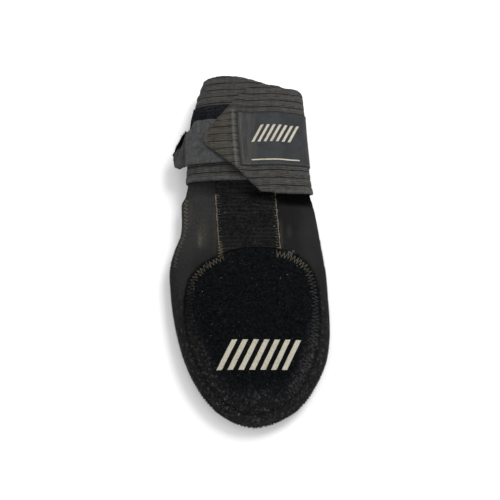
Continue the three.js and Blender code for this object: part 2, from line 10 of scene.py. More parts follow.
import bpy
import numpy as np
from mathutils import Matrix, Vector


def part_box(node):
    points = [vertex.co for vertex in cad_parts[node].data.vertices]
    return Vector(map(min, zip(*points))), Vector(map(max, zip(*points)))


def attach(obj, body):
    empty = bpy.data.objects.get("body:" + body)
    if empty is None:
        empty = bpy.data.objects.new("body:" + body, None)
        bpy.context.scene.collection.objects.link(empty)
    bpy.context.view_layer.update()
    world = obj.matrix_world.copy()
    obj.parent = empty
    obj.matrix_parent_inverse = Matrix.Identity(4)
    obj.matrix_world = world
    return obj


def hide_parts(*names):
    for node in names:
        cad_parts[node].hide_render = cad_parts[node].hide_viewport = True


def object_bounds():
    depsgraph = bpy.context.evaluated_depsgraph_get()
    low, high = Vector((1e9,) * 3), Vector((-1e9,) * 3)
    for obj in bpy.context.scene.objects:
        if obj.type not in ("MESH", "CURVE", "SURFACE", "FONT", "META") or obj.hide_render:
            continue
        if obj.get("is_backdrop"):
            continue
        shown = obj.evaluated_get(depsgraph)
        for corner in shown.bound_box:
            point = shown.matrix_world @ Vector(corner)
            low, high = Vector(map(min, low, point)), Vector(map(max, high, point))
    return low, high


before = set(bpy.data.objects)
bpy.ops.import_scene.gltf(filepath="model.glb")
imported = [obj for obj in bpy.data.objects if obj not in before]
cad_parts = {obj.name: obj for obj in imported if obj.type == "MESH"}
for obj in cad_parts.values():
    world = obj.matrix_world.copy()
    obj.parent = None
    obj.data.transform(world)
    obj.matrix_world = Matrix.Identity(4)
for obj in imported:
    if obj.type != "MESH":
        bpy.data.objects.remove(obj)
cad_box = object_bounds()

# Sizes in millimetres, as in the solids, apart from the flap, its ramp and the hook backing's edges
HAND_LENGTH, CUFF_LENGTH = 186.0, 93.0
HAND_WIDTH, CUFF_WIDTH = 126.0, 96.0
HAND_HEIGHT, CUFF_HEIGHT = 29.0, 35.5
NECK_DIP = 9.0
SHELL_WALL = 3.2
HAND_ROUND, CUFF_ROUND = 2.3, 2.2
BELLY = 1.3
PANEL_THICKNESS = 2.4
PANEL_SIDE_MARGIN, PANEL_TIP_MARGIN, PANEL_NECK_MARGIN = 6.5, 8.0, 48.5
STRIP_WIDTH, STRIP_CENTRE_X, STRIP_LEAN = 48.3, -0.4, 0.075
STRIP_THICKNESS, STRIP_TUCK = 1.5, 10.0
BAR_COUNT = 7
PANEL_BAR = {"width": 4.2, "pitch": 8.3, "height": 23.0, "x": 7.0, "y": 51.0}
LABEL_BAR = {"width": 2.3, "pitch": 5.0, "height": 16.0, "x": 21.0, "edge": 53.0}
LABEL_LINE = {"width": 1.1, "edge": 28.0, "length": 40.0}
PRINT_LEAN = 0.5
STRAP_WIDTH, STRAP_THICKNESS = 99.0, 2.2
RIB_COUNT, RIB_DEPTH = 15, 0.55
STRAP_SETBACK, STRAP_DRIFT, STRAP_LEAN, STRAP_SKEW = 13.5, 11.0, 5.0, 2.5
STRAP_START, STRAP_END = 70.0, 510.0
TURN_RAMP = 24.0
FLAP_TAPER_LOWER, FLAP_TAPER_UPPER = 47.0, 36.0
FLAP_TIP_WIDTH, FLAP_TIP_X, FLAP_TIP_DROP = 13.0, -38.7, 1.3
PATCH_THICKNESS, PATCH_FROM, PATCH_TO = 0.8, 95.0, 168.0
PATCH_EDGE, PATCH_WIDTH = 24.0, 43.5
HOOK_THICKNESS, HOOK_OVERHANG, HOOK_INSET = 0.7, 1.2, 0.9
TAB_THICKNESS, TAB_LENGTH, TAB_WIDTH = 1.1, 57.0, 41.0
TAB_START, TAB_LEAVES, TAB_EDGE = 100.0, 150.0, 14.0
LABEL_THICKNESS, LABEL_FROM, LABEL_TO = 0.8, 358.0, 456.0
LABEL_EDGE, LABEL_WIDTH = 23.5, 48.5
CLEARANCE = 0.35
SEAT = STRAP_THICKNESS + CLEARANCE

MM = 0.001
pocket_low, pocket_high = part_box("hand_pocket")
SHIFT = np.array([pocket_high.x - HAND_WIDTH / 2 * MM, pocket_low.y, pocket_low.z])

# Sections of the hand: along is a share of its length, left and right of half its width, top, widest and
# under of its height, raised of the seat's height, and sag is the fall of the upper face to the right.
HAND_COLUMNS = "along left right top widest under raised sag"
HAND_ROWS = [
    (0.0, 0.063, 0.063, 0.31, 0.31, 0.31, 0, 0),
    (0.011, -0.097, 0.23, 0.5, 0.33, 0.155, 0, 0),
    (0.035, -0.267, 0.413, 0.63, 0.345, 0.06, 0, 0),
    (0.058, -0.378, 0.532, 0.7, 0.353, 0.02, 0, 0),
    (0.082, -0.462, 0.618, 0.75, 0.36, 0, 0, 0),
    (0.155, -0.637, 0.784, 0.85, 0.38, 0, 0, 0),
    (0.254, -0.79, 0.927, 0.925, 0.4, 0, 0, 0),
    (0.355, -0.886, 0.986, 0.97, 0.41, 0, 0, 0),
    (0.46, -0.956, 1.0, 1.0, 0.415, 0, 0, 0),
    (0.56, -1.002, 0.987, 1.0, 0.415, 0, 0, 0),
    (0.65, -1.03, 0.967, 0.985, 0.415, 0, 0, 0),
    (0.705, -1.022, 0.946, 0.975, 0.415, 0, 0, 0),
    (0.76, -0.978, 0.925, 0.965, 0.415, 0, 0, 0),
    (0.82, -0.916, 0.905, 0.955, 0.42, 0, 0, 0.04),
    (0.88, -0.9, 0.883, 0.95, 0.425, 0, 0.1, 0.12),
    (0.94, -0.903, 0.857, 0.95, 0.45, 0, 0.5, 0.24),
    (0.983, -0.893, 0.826, 0.945, 0.5, 0, 0.95, 0.34),
]

# Sections of the cuff. The last one is beyond the mouth, where only the strap reaches.
CUFF_WIDEST = 0.51
CUFF_COLUMNS = "along left right top dip sag"
CUFF_ROWS = [
    (0.0, -1.12, 1.065, 0.953, 1, 0.36),
    (0.054, -1.098, 1.04, 0.963, 0.82, 0.3),
    (0.13, -1.075, 1.014, 0.979, 0.38, 0.16),
    (0.226, -1.062, 0.995, 0.995, 0.06, 0.04),
    (0.376, -1.058, 0.978, 1.0, 0, 0),
    (0.59, -1.038, 0.952, 1.0, 0, 0),
    (0.806, -0.988, 0.925, 0.989, 0, 0),
    (1.0, -0.9, 0.905, 0.963, 0, 0),
    (1.25, -0.775, 0.875, 0.92, 0, 0),
]

# Outline of the striking panel, from its tip: left and right are shares of half its width.
PANEL_COLUMNS = "along left right"
PANEL_ROWS = [
    (0.0, 0.07, 0.07),
    (0.01, -0.08, 0.221),
    (0.041, -0.239, 0.405),
    (0.069, -0.342, 0.52),
    (0.105, -0.435, 0.613),
    (0.192, -0.6, 0.765),
    (0.324, -0.757, 0.9),
    (0.45, -0.86, 0.965),
    (0.58, -0.915, 0.995),
    (0.7, -0.92, 0.99),
    (0.79, -0.885, 0.955),
    (0.855, -0.8, 0.9),
    (0.905, -0.66, 0.825),
    (0.945, -0.5, 0.72),
    (0.978, -0.3, 0.56),
    (1.0, -0.08, 0.3),
]

# Outline of the hook tab, from its hidden end: low and high are shares of its width.
TAB_COLUMNS = "along low high hooks"
TAB_ROWS = [
    (0.0, 0.02, 0.97, 0.95),
    (0.3, 0.0, 1.0, 0.97),
    (0.5, 0.0, 1.05, 1.0),
    (0.58, 0.01, 1.04, 0.98),
    (0.67, 0.01, 0.95, 0.89),
    (0.73, 0.01, 0.8, 0.8),
    (0.765, 0.01, 0.775, 0.8),
    (0.803, 0.01, 0.74, 0.84),
    (0.83, 0.01, 0.61, 0.79),
    (0.86, 0.0, 0.5, 0.715),
    (0.89, 0.0, 0.475, 0.64),
    (0.93, 0.03, 0.46, 0.58),
    (0.975, 0.1, 0.42, 0.49),
    (1.0, 0.24, 0.35, 0.39),
]


# Numbers and noise


def table(columns, rows):
    """The rows as one array for each named column."""
    return dict(zip(columns.split(), np.array(rows, float).T))


def smooth(at, xs, ys):
    """A smooth curve through the points, read at any place, and straight on beyond the ends."""
    at = np.asarray(at, float)
    step = np.diff(xs)
    rise = np.diff(ys) / step
    middle = (rise[:-1] * step[1:] + rise[1:] * step[:-1]) / (step[1:] + step[:-1])
    slope = np.concatenate([rise[:1], middle, rise[-1:]])
    i = np.clip(np.searchsorted(xs, at, side="right") - 1, 0, len(xs) - 2)
    t = (at - xs[i]) / step[i]
    inside = np.clip(t, 0, 1)
    t2, t3 = inside**2, inside**3
    value = (2 * t3 - 3 * t2 + 1) * ys[i] + (3 * t2 - 2 * t3) * ys[i + 1]
    value += ((t3 - 2 * t2 + inside) * slope[i] + (t3 - t2) * slope[i + 1]) * step[i]
    return value + (t - inside) * step[i] * np.where(t > 1, slope[i + 1], slope[i])


def ease(at, low, high):
    """0 below low and 1 above high, smoothly."""
    t = np.clip((np.asarray(at, float) - low) / (high - low), 0, 1)
    return t * t * (3 - 2 * t)


LATTICE = np.random.default_rng(11).uniform(-1, 1, 8192)
SCATTER = 73856093, 19349663, 83492791, 2654435  # large odd numbers for the three axes and the seed


def noise(points, size, seed=0):
    """Smooth seeded noise from -1 to 1, with lumps of the given size in millimetres."""
    p = np.asarray(points, float) / size
    cell = np.floor(p).astype(np.int64)
    part = p - cell
    part = part * part * (3 - 2 * part)
    total = np.zeros(p.shape[:-1])
    for corner in np.ndindex(2, 2, 2):
        at = cell + np.array(corner)
        spot = at[..., 0] * SCATTER[0] ^ at[..., 1] * SCATTER[1] ^ at[..., 2] * SCATTER[2] ^ seed * SCATTER[3]
        weight = np.prod(np.where(np.array(corner) == 1, part, 1 - part), axis=-1)
        total += weight * LATTICE[spot % len(LATTICE)]
    return total


def unit(vectors):
    return vectors / np.maximum(np.linalg.norm(vectors, axis=-1, keepdims=True), 1e-12)


def upward(count):
    return np.tile([0.0, 0.0, 1.0], (count, 1))


def rounded(inside, radius):
    """0 at an edge and 1 from radius inwards, rising like a quarter of a circle."""
    return np.sqrt(np.clip(1 - (1 - np.clip(inside / radius, 0, 1)) ** 2, 0, 1))


def marked(*values):
    """Up to three values for each point, as the three columns of an attribute."""
    made = np.zeros((np.size(values[0]), 3))
    for k, value in enumerate(values):
        made[:, k] = np.ravel(value)
    return made


# The pocket's form and the strap's seat on it

hand = table(HAND_COLUMNS, HAND_ROWS)
cuff = table(CUFF_COLUMNS, CUFF_ROWS)
seat_rows = {
    "y": HAND_LENGTH + cuff["along"] * CUFF_LENGTH,
    "left": cuff["left"] * CUFF_WIDTH / 2,
    "right": cuff["right"] * CUFF_WIDTH / 2,
    "top": cuff["top"] * CUFF_HEIGHT,
    "widest": np.full(len(CUFF_ROWS), CUFF_WIDEST * CUFF_HEIGHT),
    "under": np.full(len(CUFF_ROWS), SEAT),
    "sag": np.zeros(len(CUFF_ROWS)),
    "round": np.full(len(CUFF_ROWS), CUFF_ROUND),
}
hand_rows = {
    "y": hand["along"] * HAND_LENGTH,
    "left": hand["left"] * HAND_WIDTH / 2,
    "right": hand["right"] * HAND_WIDTH / 2,
    "top": hand["top"] * HAND_HEIGHT,
    "widest": hand["widest"] * HAND_HEIGHT,
    "under": hand["under"] * HAND_HEIGHT + hand["raised"] * SEAT,
    "sag": hand["sag"],
    "round": np.full(len(HAND_ROWS), HAND_ROUND),
}
dipped = {**seat_rows, "top": cuff["top"] * CUFF_HEIGHT - cuff["dip"] * NECK_DIP, "sag": cuff["sag"]}
pocket_rows = {key: np.concatenate([hand_rows[key], dipped[key][:-1]]) for key in hand_rows}


def section(rows, y):
    """The section of a form at any y, as a value or an array for each column."""
    return {key: smooth(y, rows["y"], rows[key]) for key in rows if key != "y"}


def middle_and_half(cut):
    return (cut["left"] + cut["right"]) / 2, (cut["right"] - cut["left"]) / 2


def upper_face(cut, across, up, lift):
    """The height of a section's upper face, which may sag to the right."""
    return cut["widest"] + (cut["top"] - cut["widest"] + lift) * up * (1 - cut["sag"] * np.maximum(across, 0))


def section_point(cut, y, degrees, lift, floor):
    """Points of a section, degrees round it from +X over the top, lifted off its surface."""
    angle = np.radians(degrees)
    power = 2 / cut["round"]
    across = np.sign(np.cos(angle)) * np.abs(np.cos(angle)) ** power
    up = np.abs(np.sin(angle)) ** power
    middle, half = middle_and_half(cut)
    x = middle + (half + lift) * across
    above = upper_face(cut, across, up, lift)
    below = np.maximum(cut["widest"] - ((cut["widest"] - cut["under"]) * BELLY + lift) * up, floor)
    z = np.where(np.sin(angle) >= 0, above, below)
    return np.stack(np.broadcast_arrays(x, y, z), axis=-1)


def on_pocket(x, y, lift):
    """Points on the pocket's upper side, over plan points, lifted off it."""
    cut = section(pocket_rows, y)
    middle, half = middle_and_half(cut)
    across = np.clip((x - middle) / (half + lift), -0.999, 0.999)
    up = (1 - np.abs(across) ** cut["round"]) ** (1 / cut["round"])
    return np.stack(np.broadcast_arrays(x, y, upper_face(cut, across, up, lift)), axis=-1)


# How soft things settle: one gentle, uneven shift of the whole mitt, which fades out at the surface below
SETTLE = {"size": 46.0, "amount": 0.8, "fade": 9.0}


def settle(points):
    fade = ease(points[..., 2], 0, SETTLE["fade"])[..., None]
    shift = np.stack([noise(points, SETTLE["size"], seed) for seed in (1, 2, 3)], axis=-1)
    return points + shift * fade * SETTLE["amount"]


def to_frame(points):
    return settle(np.asarray(points, float)) * MM + SHIFT


# Meshes


def piece(name, points, faces, material, slot_name, node=None, attributes=None, slots=None):
    """A mesh object of the given points in millimetres, closed and with its faces outwards.

    node is the part of the frame that it stands for, if there is one.
    """
    mesh = bpy.data.meshes.new(name)
    mesh.from_pydata(to_frame(points).tolist(), [], faces)
    mesh.validate()
    mesh.polygons.foreach_set("use_smooth", np.ones(len(mesh.polygons), bool))
    for m in material if isinstance(material, list) else [material]:
        mesh.materials.append(m)
    if slots is not None:
        mesh.polygons.foreach_set("material_index", np.asarray(slots, np.int32))
    for key, values in (attributes or {}).items():
        made = mesh.attributes.new(key, "FLOAT_VECTOR", "POINT")
        made.data.foreach_set("vector", np.asarray(values, np.float32).ravel())
    mesh.update()
    made = bpy.data.objects.new(name, mesh)
    bpy.context.scene.collection.objects.link(made)
    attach(made, "root")
    if node is not None:
        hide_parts(node)
    return made


def facing_out(points, faces):
    """The faces, all turned round if they enclose a negative volume."""
    a, b, c, d = (points[np.array([f[k] for f in faces])] - points.mean(0) for k in (0, 1, 2, -1))
    volume = (a * (np.cross(b, c) + np.cross(c, d))).sum()
    return faces if volume > 0 else [tuple(reversed(f)) for f in faces]


def grid_faces(rows, columns, wrap=False, first=0):
    """Quads between the points of a grid, numbered row by row."""
    number = np.arange(rows * columns).reshape(rows, columns) + first
    if wrap:
        number = np.concatenate([number, number[:, :1]], axis=1)
    corners = np.stack([number[:-1, :-1], number[1:, :-1], number[1:, 1:], number[:-1, 1:]], axis=-1)
    return corners.reshape(-1, 4)


def skin(rings):
    """The points and faces of a run of rings with the same number of points, closed by a fan at each end."""
    count, around = rings.shape[:2]
    ends = [rings[0].mean(0), rings[-1].mean(0)]
    points = np.concatenate([rings.reshape(-1, 3), ends])
    faces = grid_faces(count, around, wrap=True).tolist()
    last = (count - 1) * around
    for i in range(around):
        k = (i + 1) % around
        faces.append((count * around, i, k))
        faces.append((count * around + 1, last + k, last + i))
    return points, faces


def slab(low, high):
    """The points and faces of a closed sheet between two grids of points."""
    rows, columns = low.shape[:2]
    count = rows * columns
    points = np.concatenate([low.reshape(-1, 3), high.reshape(-1, 3)])
    top = grid_faces(rows, columns, first=count)
    bottom = grid_faces(rows, columns)[:, ::-1]
    number = np.arange(count).reshape(rows, columns)
    rim = np.concatenate([number[0, :-1], number[:-1, -1], number[-1, :0:-1], number[:0:-1, 0]])
    after = np.roll(rim, -1)
    wall = np.stack([rim, after, after + count, rim + count], axis=-1)
    faces = np.concatenate([top, bottom, wall]).tolist()
    return points, faces


def normals_of(grid, wrap=False):
    """Unit normals of a grid of points."""
    along = np.gradient(grid, axis=0)
    across = (np.roll(grid, -1, 1) - np.roll(grid, 1, 1)) / 2 if wrap else np.gradient(grid, axis=1)
    return unit(np.cross(along, across))


STITCH_STATIONS, STITCH_SIDES = 7, 6


def stitches(name, starts, ends, normals, radius, arch, material, slot_name):
    """Thread stitches as one mesh: each an arched tube that dips into the cloth at both ends."""
    t = np.linspace(0, 1, STITCH_STATIONS)[None, :, None]
    way = unit(ends - starts)
    normals = unit(normals - way * (normals * way).sum(-1, keepdims=True))
    side = np.cross(way, normals)
    line = starts[:, None] * (1 - t) + ends[:, None] * t
    line = line + normals[:, None] * (arch * np.sin(np.pi * t) - radius)
    turn = np.linspace(0, 2 * np.pi, STITCH_SIDES, endpoint=False)
    spokes = np.cos(turn)[:, None] * side[:, None] + np.sin(turn)[:, None] * normals[:, None]
    girth = radius * (0.55 + 0.45 * np.sin(np.pi * np.clip(t, 0.08, 0.92)))
    rings = line[:, :, None] + girth[..., None] * spokes[:, None]
    points = rings.reshape(-1, 3)
    one = grid_faces(STITCH_STATIONS, STITCH_SIDES, wrap=True)
    size = STITCH_STATIONS * STITCH_SIDES
    offsets = np.arange(len(starts)) * size
    faces = (one[None] + offsets[:, None, None]).reshape(-1, 4).tolist()
    cap = np.arange(STITCH_SIDES)
    for o in offsets:
        faces.append((o + cap[::-1]).tolist())
        faces.append((o + size - STITCH_SIDES + cap).tolist())
    piece(name, points, faces, material, slot_name)


# The triangles of one fibre: points 0 to 2 are its root, 3 to 5 its bend and 6 its tip
SPIKE_ROOT = (2, 1, 0)
SPIKE_SIDES = [(0, 1, 4), (0, 4, 3), (1, 2, 5), (1, 5, 4), (2, 0, 3), (2, 3, 5)]
SPIKE_TIP = [(3, 4, 6), (4, 5, 6), (5, 3, 6)]


def fibres(name, roots, ways, bends, width, material, slot_name):
    """Short bent fibres as one mesh: each a slim spike with a triangle at its root and one at its bend."""
    ways, middle = np.asarray(ways), roots + ways * 0.5
    side = unit(np.cross(ways, bends + 1e-6))
    other = unit(np.cross(side, ways))
    turn = np.radians([90, 210, 330])
    spokes = np.cos(turn)[:, None] * side[:, None] + np.sin(turn)[:, None] * other[:, None]
    width = np.broadcast_to(width, len(roots))[:, None, None]
    base = roots[:, None] + spokes * width / 2
    knee = middle[:, None] + spokes * width * 0.4
    tip = (roots + ways + bends)[:, None]
    points = np.concatenate([base, knee, tip], axis=1).reshape(-1, 3)
    points[:, 2] = np.maximum(points[:, 2], width.min() / 2)  # none goes under the surface
    one = np.array([SPIKE_ROOT, *SPIKE_SIDES, *SPIKE_TIP])
    offsets = np.arange(len(roots)) * 7
    faces = (one[None] + offsets[:, None, None]).reshape(-1, 3).tolist()
    piece(name, points, faces, material, slot_name)


# Materials


def socket(value):
    return value.outputs[0] if isinstance(value, bpy.types.Node) else value


class Finish:
    """A procedural material, built up node by node. Lengths are in millimetres."""

    def __init__(self, name, roughness=0.9, sheen=0.0, sheen_roughness=0.5, specular=0.5):
        self.material = bpy.data.materials.new(name)
        self.material.use_nodes = True
        self.tree = self.material.node_tree
        self.shader = self.tree.nodes["Principled BSDF"]
        self.shader.inputs["Roughness"].default_value = roughness
        self.shader.inputs["Sheen Weight"].default_value = sheen
        self.shader.inputs["Sheen Roughness"].default_value = sheen_roughness
        self.shader.inputs["Specular IOR Level"].default_value = specular
        self.place = self.node("ShaderNodeTexCoord").outputs["Object"]
        self.bumps = None

    def node(self, kind, **settings):
        made = self.tree.nodes.new(kind)
        for key, value in settings.items():
            setattr(made, key, value)
        return made

    def link(self, source, target):
        self.tree.links.new(socket(source), target)

    def attribute(self, name):
        return self.node("ShaderNodeAttribute", attribute_name=name).outputs["Vector"]

    def noise(self, size, detail=2.0, rough=0.5, place=None, stretch=None, unit_is_mm=False):
        place = self.place if place is None else place
        if stretch:
            mapped = self.node("ShaderNodeMapping")
            mapped.inputs["Scale"].default_value = stretch
            self.link(place, mapped.inputs["Vector"])
            place = mapped
        made = self.node("ShaderNodeTexNoise")
        made.inputs["Scale"].default_value = 1 / (size if unit_is_mm else size * MM)
        made.inputs["Detail"].default_value = detail
        made.inputs["Roughness"].default_value = rough
        self.link(place, made.inputs["Vector"])
        return made.outputs["Fac"]

    def waves(self, pitch, axis="Y", place=None, distortion=0.0, unit_is_mm=False):
        made = self.node("ShaderNodeTexWave", wave_type="BANDS", bands_direction=axis, wave_profile="SIN")
        length = pitch if unit_is_mm else pitch * MM
        made.inputs["Scale"].default_value = 2 * math.pi / 20 / length
        made.inputs["Distortion"].default_value = distortion
        made.inputs["Detail"].default_value = 1.0
        self.link(self.place if place is None else place, made.inputs["Vector"])
        return made.outputs["Fac"]

    def maths(self, operation, a, b=None, c=None):
        made = self.node("ShaderNodeMath", operation=operation)
        for i, value in enumerate((a, b, c)):
            if value is None:
                continue
            if isinstance(value, (int, float)):
                made.inputs[i].default_value = value
            else:
                self.link(value, made.inputs[i])
        return made.outputs[0]

    def times(self, a, b):
        return self.maths("MULTIPLY", a, b)

    def span(self, value, low, high, to_low=0.0, to_high=1.0):
        made = self.node("ShaderNodeMapRange", interpolation_type="SMOOTHSTEP")
        for key, number in zip(("From Min", "From Max", "To Min", "To Max"), (low, high, to_low, to_high)):
            made.inputs[key].default_value = number
        self.link(value, made.inputs["Value"])
        return made.outputs[0]

    def along(self, axis, start, end):
        """0 before start and 1 past end, on an axis of the mitt's own millimetres."""
        place = self.split(self.place)[axis]
        return self.span(place, float(SHIFT[axis]) + start * MM, float(SHIFT[axis]) + end * MM)

    def oval(self, x, y, width, length, soft=0.6):
        """1 inside an oval of the mitt's plan, in its own millimetres, and 0 outside it."""
        mapped = self.node("ShaderNodeMapping")
        mapped.inputs["Scale"].default_value = (2 / width / MM, 2 / length / MM, 0)
        centre = x + SHIFT[0] / MM, y + SHIFT[1] / MM
        mapped.inputs["Location"].default_value = (-2 * centre[0] / width, -2 * centre[1] / length, 0)
        self.link(self.place, mapped.inputs["Vector"])
        far = self.node("ShaderNodeVectorMath", operation="LENGTH")
        self.link(mapped, far.inputs[0])
        return self.span(far.outputs["Value"], 1 + soft, 1 - soft)

    def split(self, vector):
        made = self.node("ShaderNodeSeparateXYZ")
        self.link(vector, made.inputs[0])
        return made.outputs

    def mix(self, share, a, b):
        made = self.node("ShaderNodeMix", data_type="RGBA")
        for key, value in (("Factor", share), ("A", a), ("B", b)):
            index = {"Factor": 0, "A": 6, "B": 7}[key]
            if isinstance(value, tuple):
                made.inputs[index].default_value = (*value, 1)
            elif isinstance(value, (int, float)):
                made.inputs[index].default_value = value
            else:
                self.link(value, made.inputs[index])
        return made.outputs[2]

    def colour(self, value):
        self.link(value, self.shader.inputs["Base Color"])

    def roughness(self, value):
        self.link(value, self.shader.inputs["Roughness"])

    def bump(self, height, distance, strength=1.0):
        """Adds one layer of bump; distance is its height in millimetres."""
        made = self.node("ShaderNodeBump")
        made.inputs["Strength"].default_value = strength
        made.inputs["Distance"].default_value = distance * MM
        self.link(height, made.inputs["Height"])
        if self.bumps is not None:
            self.link(self.bumps, made.inputs["Normal"])
        self.bumps = made
        self.link(made, self.shader.inputs["Normal"])


def brighter(colour, factor):
    return tuple(min(c * factor, 1.0) for c in colour)


def knit(f, base):
    """The fine, slightly uneven knit of a neoprene face."""
    patches = f.noise(28, 4, 0.6)
    grain = f.noise(0.9, 3, 0.6)
    colour = f.mix(f.span(patches, 0.3, 0.7), brighter(base, 0.82), brighter(base, 1.2))
    f.bump(f.waves(0.62, "X", distortion=1.2), 0.05)
    f.bump(f.waves(0.5, "Y", distortion=1.2), 0.05)
    f.bump(grain, 0.14)
    return f.mix(f.span(grain, 0.35, 0.7), f.mix(0.35, colour, (0, 0, 0)), colour)


# Worn places of the neoprene: x and y in plan, width, length and share of the worn colour
FADED_ROWS = [(-44, 165, 40, 60, 1.0), (-54, 120, 14, 60, 0.45), (48, 150, 16, 60, 0.25)]
DUSTY_ROWS = [
    (-40.5, 146, 3, 11, 0.8),
    (-39, 150, 8, 20, 0.3),
    (32, 153, 4, 10, 0.2),
    (-50, 170, 6, 20, 0.15),
    (-28, 165, 3.5, 60, 0.2),
    (25, 148, 3.5, 26, 0.25),
]
ROUGH_FROM, ROUGH_TO = 60, 130  # the neoprene is fully roughened up to the one y and not past the other
STRAP_EDGE_SHADOW = (37, 190, 56, 24)  # under the strap's edge: painted shadow, where the neoprene is painted near black


def worn(f, colour, rows, shade):
    speckle = f.span(f.noise(1.4, 4, 0.65), 0.3, 0.62, 0.35, 1.0)
    for x, y, width, length, share in rows:
        here = f.times(f.oval(x, y, width, length, 0.7), speckle)
        colour = f.mix(f.times(here, share), colour, shade)
    return colour


def neoprene():
    f = Finish("neoprene", roughness=0.92, sheen=0.02, sheen_roughness=0.6, specular=0.07)
    colour = knit(f, (0.0098, 0.0097, 0.0097))
    colour = worn(f, colour, FADED_ROWS, (0.0245, 0.0245, 0.024))
    colour = worn(f, colour, DUSTY_ROWS, (0.062, 0.056, 0.043))
    dusty = f.times(f.span(f.noise(17, 5, 0.65), 0.55, 0.78), f.span(f.noise(1.3, 3), 0.4, 0.65))
    colour = f.mix(f.times(dusty, 0.3), colour, (0.034, 0.031, 0.026))
    rough_end = f.along(1, ROUGH_TO, ROUGH_FROM)
    specks = f.noise(2.3, 4, 0.72)
    colour = f.mix(f.times(f.span(specks, 0.54, 0.38), rough_end), colour, (0.0022, 0.0023, 0.0025))
    light = f.times(f.span(specks, 0.52, 0.7), rough_end)
    colour = f.mix(f.times(light, 0.8), colour, (0.052, 0.052, 0.052))
    # Painted shadow: the neoprene turns near black in an oval under the strap's edge.
    f.colour(f.mix(f.oval(*STRAP_EDGE_SHADOW, 0.35), colour, (0.0015, 0.0015, 0.0015)))
    return f.material


def lining():
    f = Finish("lining", roughness=0.92, sheen=0.02, sheen_roughness=0.6, specular=0.07)
    f.colour(knit(f, (0.013, 0.013, 0.014)))
    return f.material


def brushed():
    f = Finish("brushed_panel", roughness=1.0, specular=0.03)
    fuzz = f.noise(0.55, 4, 0.7)
    tufts = f.noise(2.4, 4, 0.65)
    colour = f.mix(f.span(tufts, 0.3, 0.75), (0.0007, 0.0009, 0.0012), (0.0045, 0.0049, 0.0057))
    rubbed = f.split(f.attribute("rubbed"))[0]
    specks = f.noise(2.3, 4, 0.72)
    colour = f.mix(f.times(rubbed, 0.75), colour, (0.0085, 0.0087, 0.0092))
    colour = f.mix(f.times(rubbed, f.span(specks, 0.5, 0.66)), colour, (0.056, 0.056, 0.058))
    flecks = f.span(f.noise(1.3, 4, 0.75), 0.55, 0.68)
    colour = f.mix(f.times(flecks, 0.75), colour, (0.021, 0.0225, 0.025))
    f.colour(f.mix(f.span(fuzz, 0.56, 0.8), colour, (0.02, 0.0215, 0.024)))
    f.bump(tufts, 0.35)
    f.bump(fuzz, 0.25)
    return f.material


def loop_tape():
    f = Finish("loop_tape", roughness=1.0, specular=0.03)
    fuzz = f.noise(0.55, 4, 0.75)
    clumps = f.noise(2.2, 4, 0.7, stretch=(1.0, 1.6, 1.0))
    rows = f.waves(3.4, "Y", distortion=3.5)
    weave = f.times(rows, f.span(f.noise(11, 3), 0.35, 0.6))
    colour = f.mix(f.span(clumps, 0.36, 0.66), (0.0012, 0.0013, 0.0017), (0.0118, 0.0118, 0.0127))
    colour = f.mix(f.times(weave, 0.5), colour, (0.021, 0.021, 0.0215))
    bluish = f.times(f.oval(*BLUISH, 0.2), f.span(clumps, 0.46, 0.7))
    colour = f.mix(bluish, colour, (0.0095, 0.0135, 0.0205))
    f.colour(f.mix(f.span(fuzz, 0.54, 0.78), colour, (0.045, 0.0445, 0.045)))
    f.bump(weave, 0.3)
    f.bump(clumps, 0.4)
    f.bump(fuzz, 0.3)
    return f.material


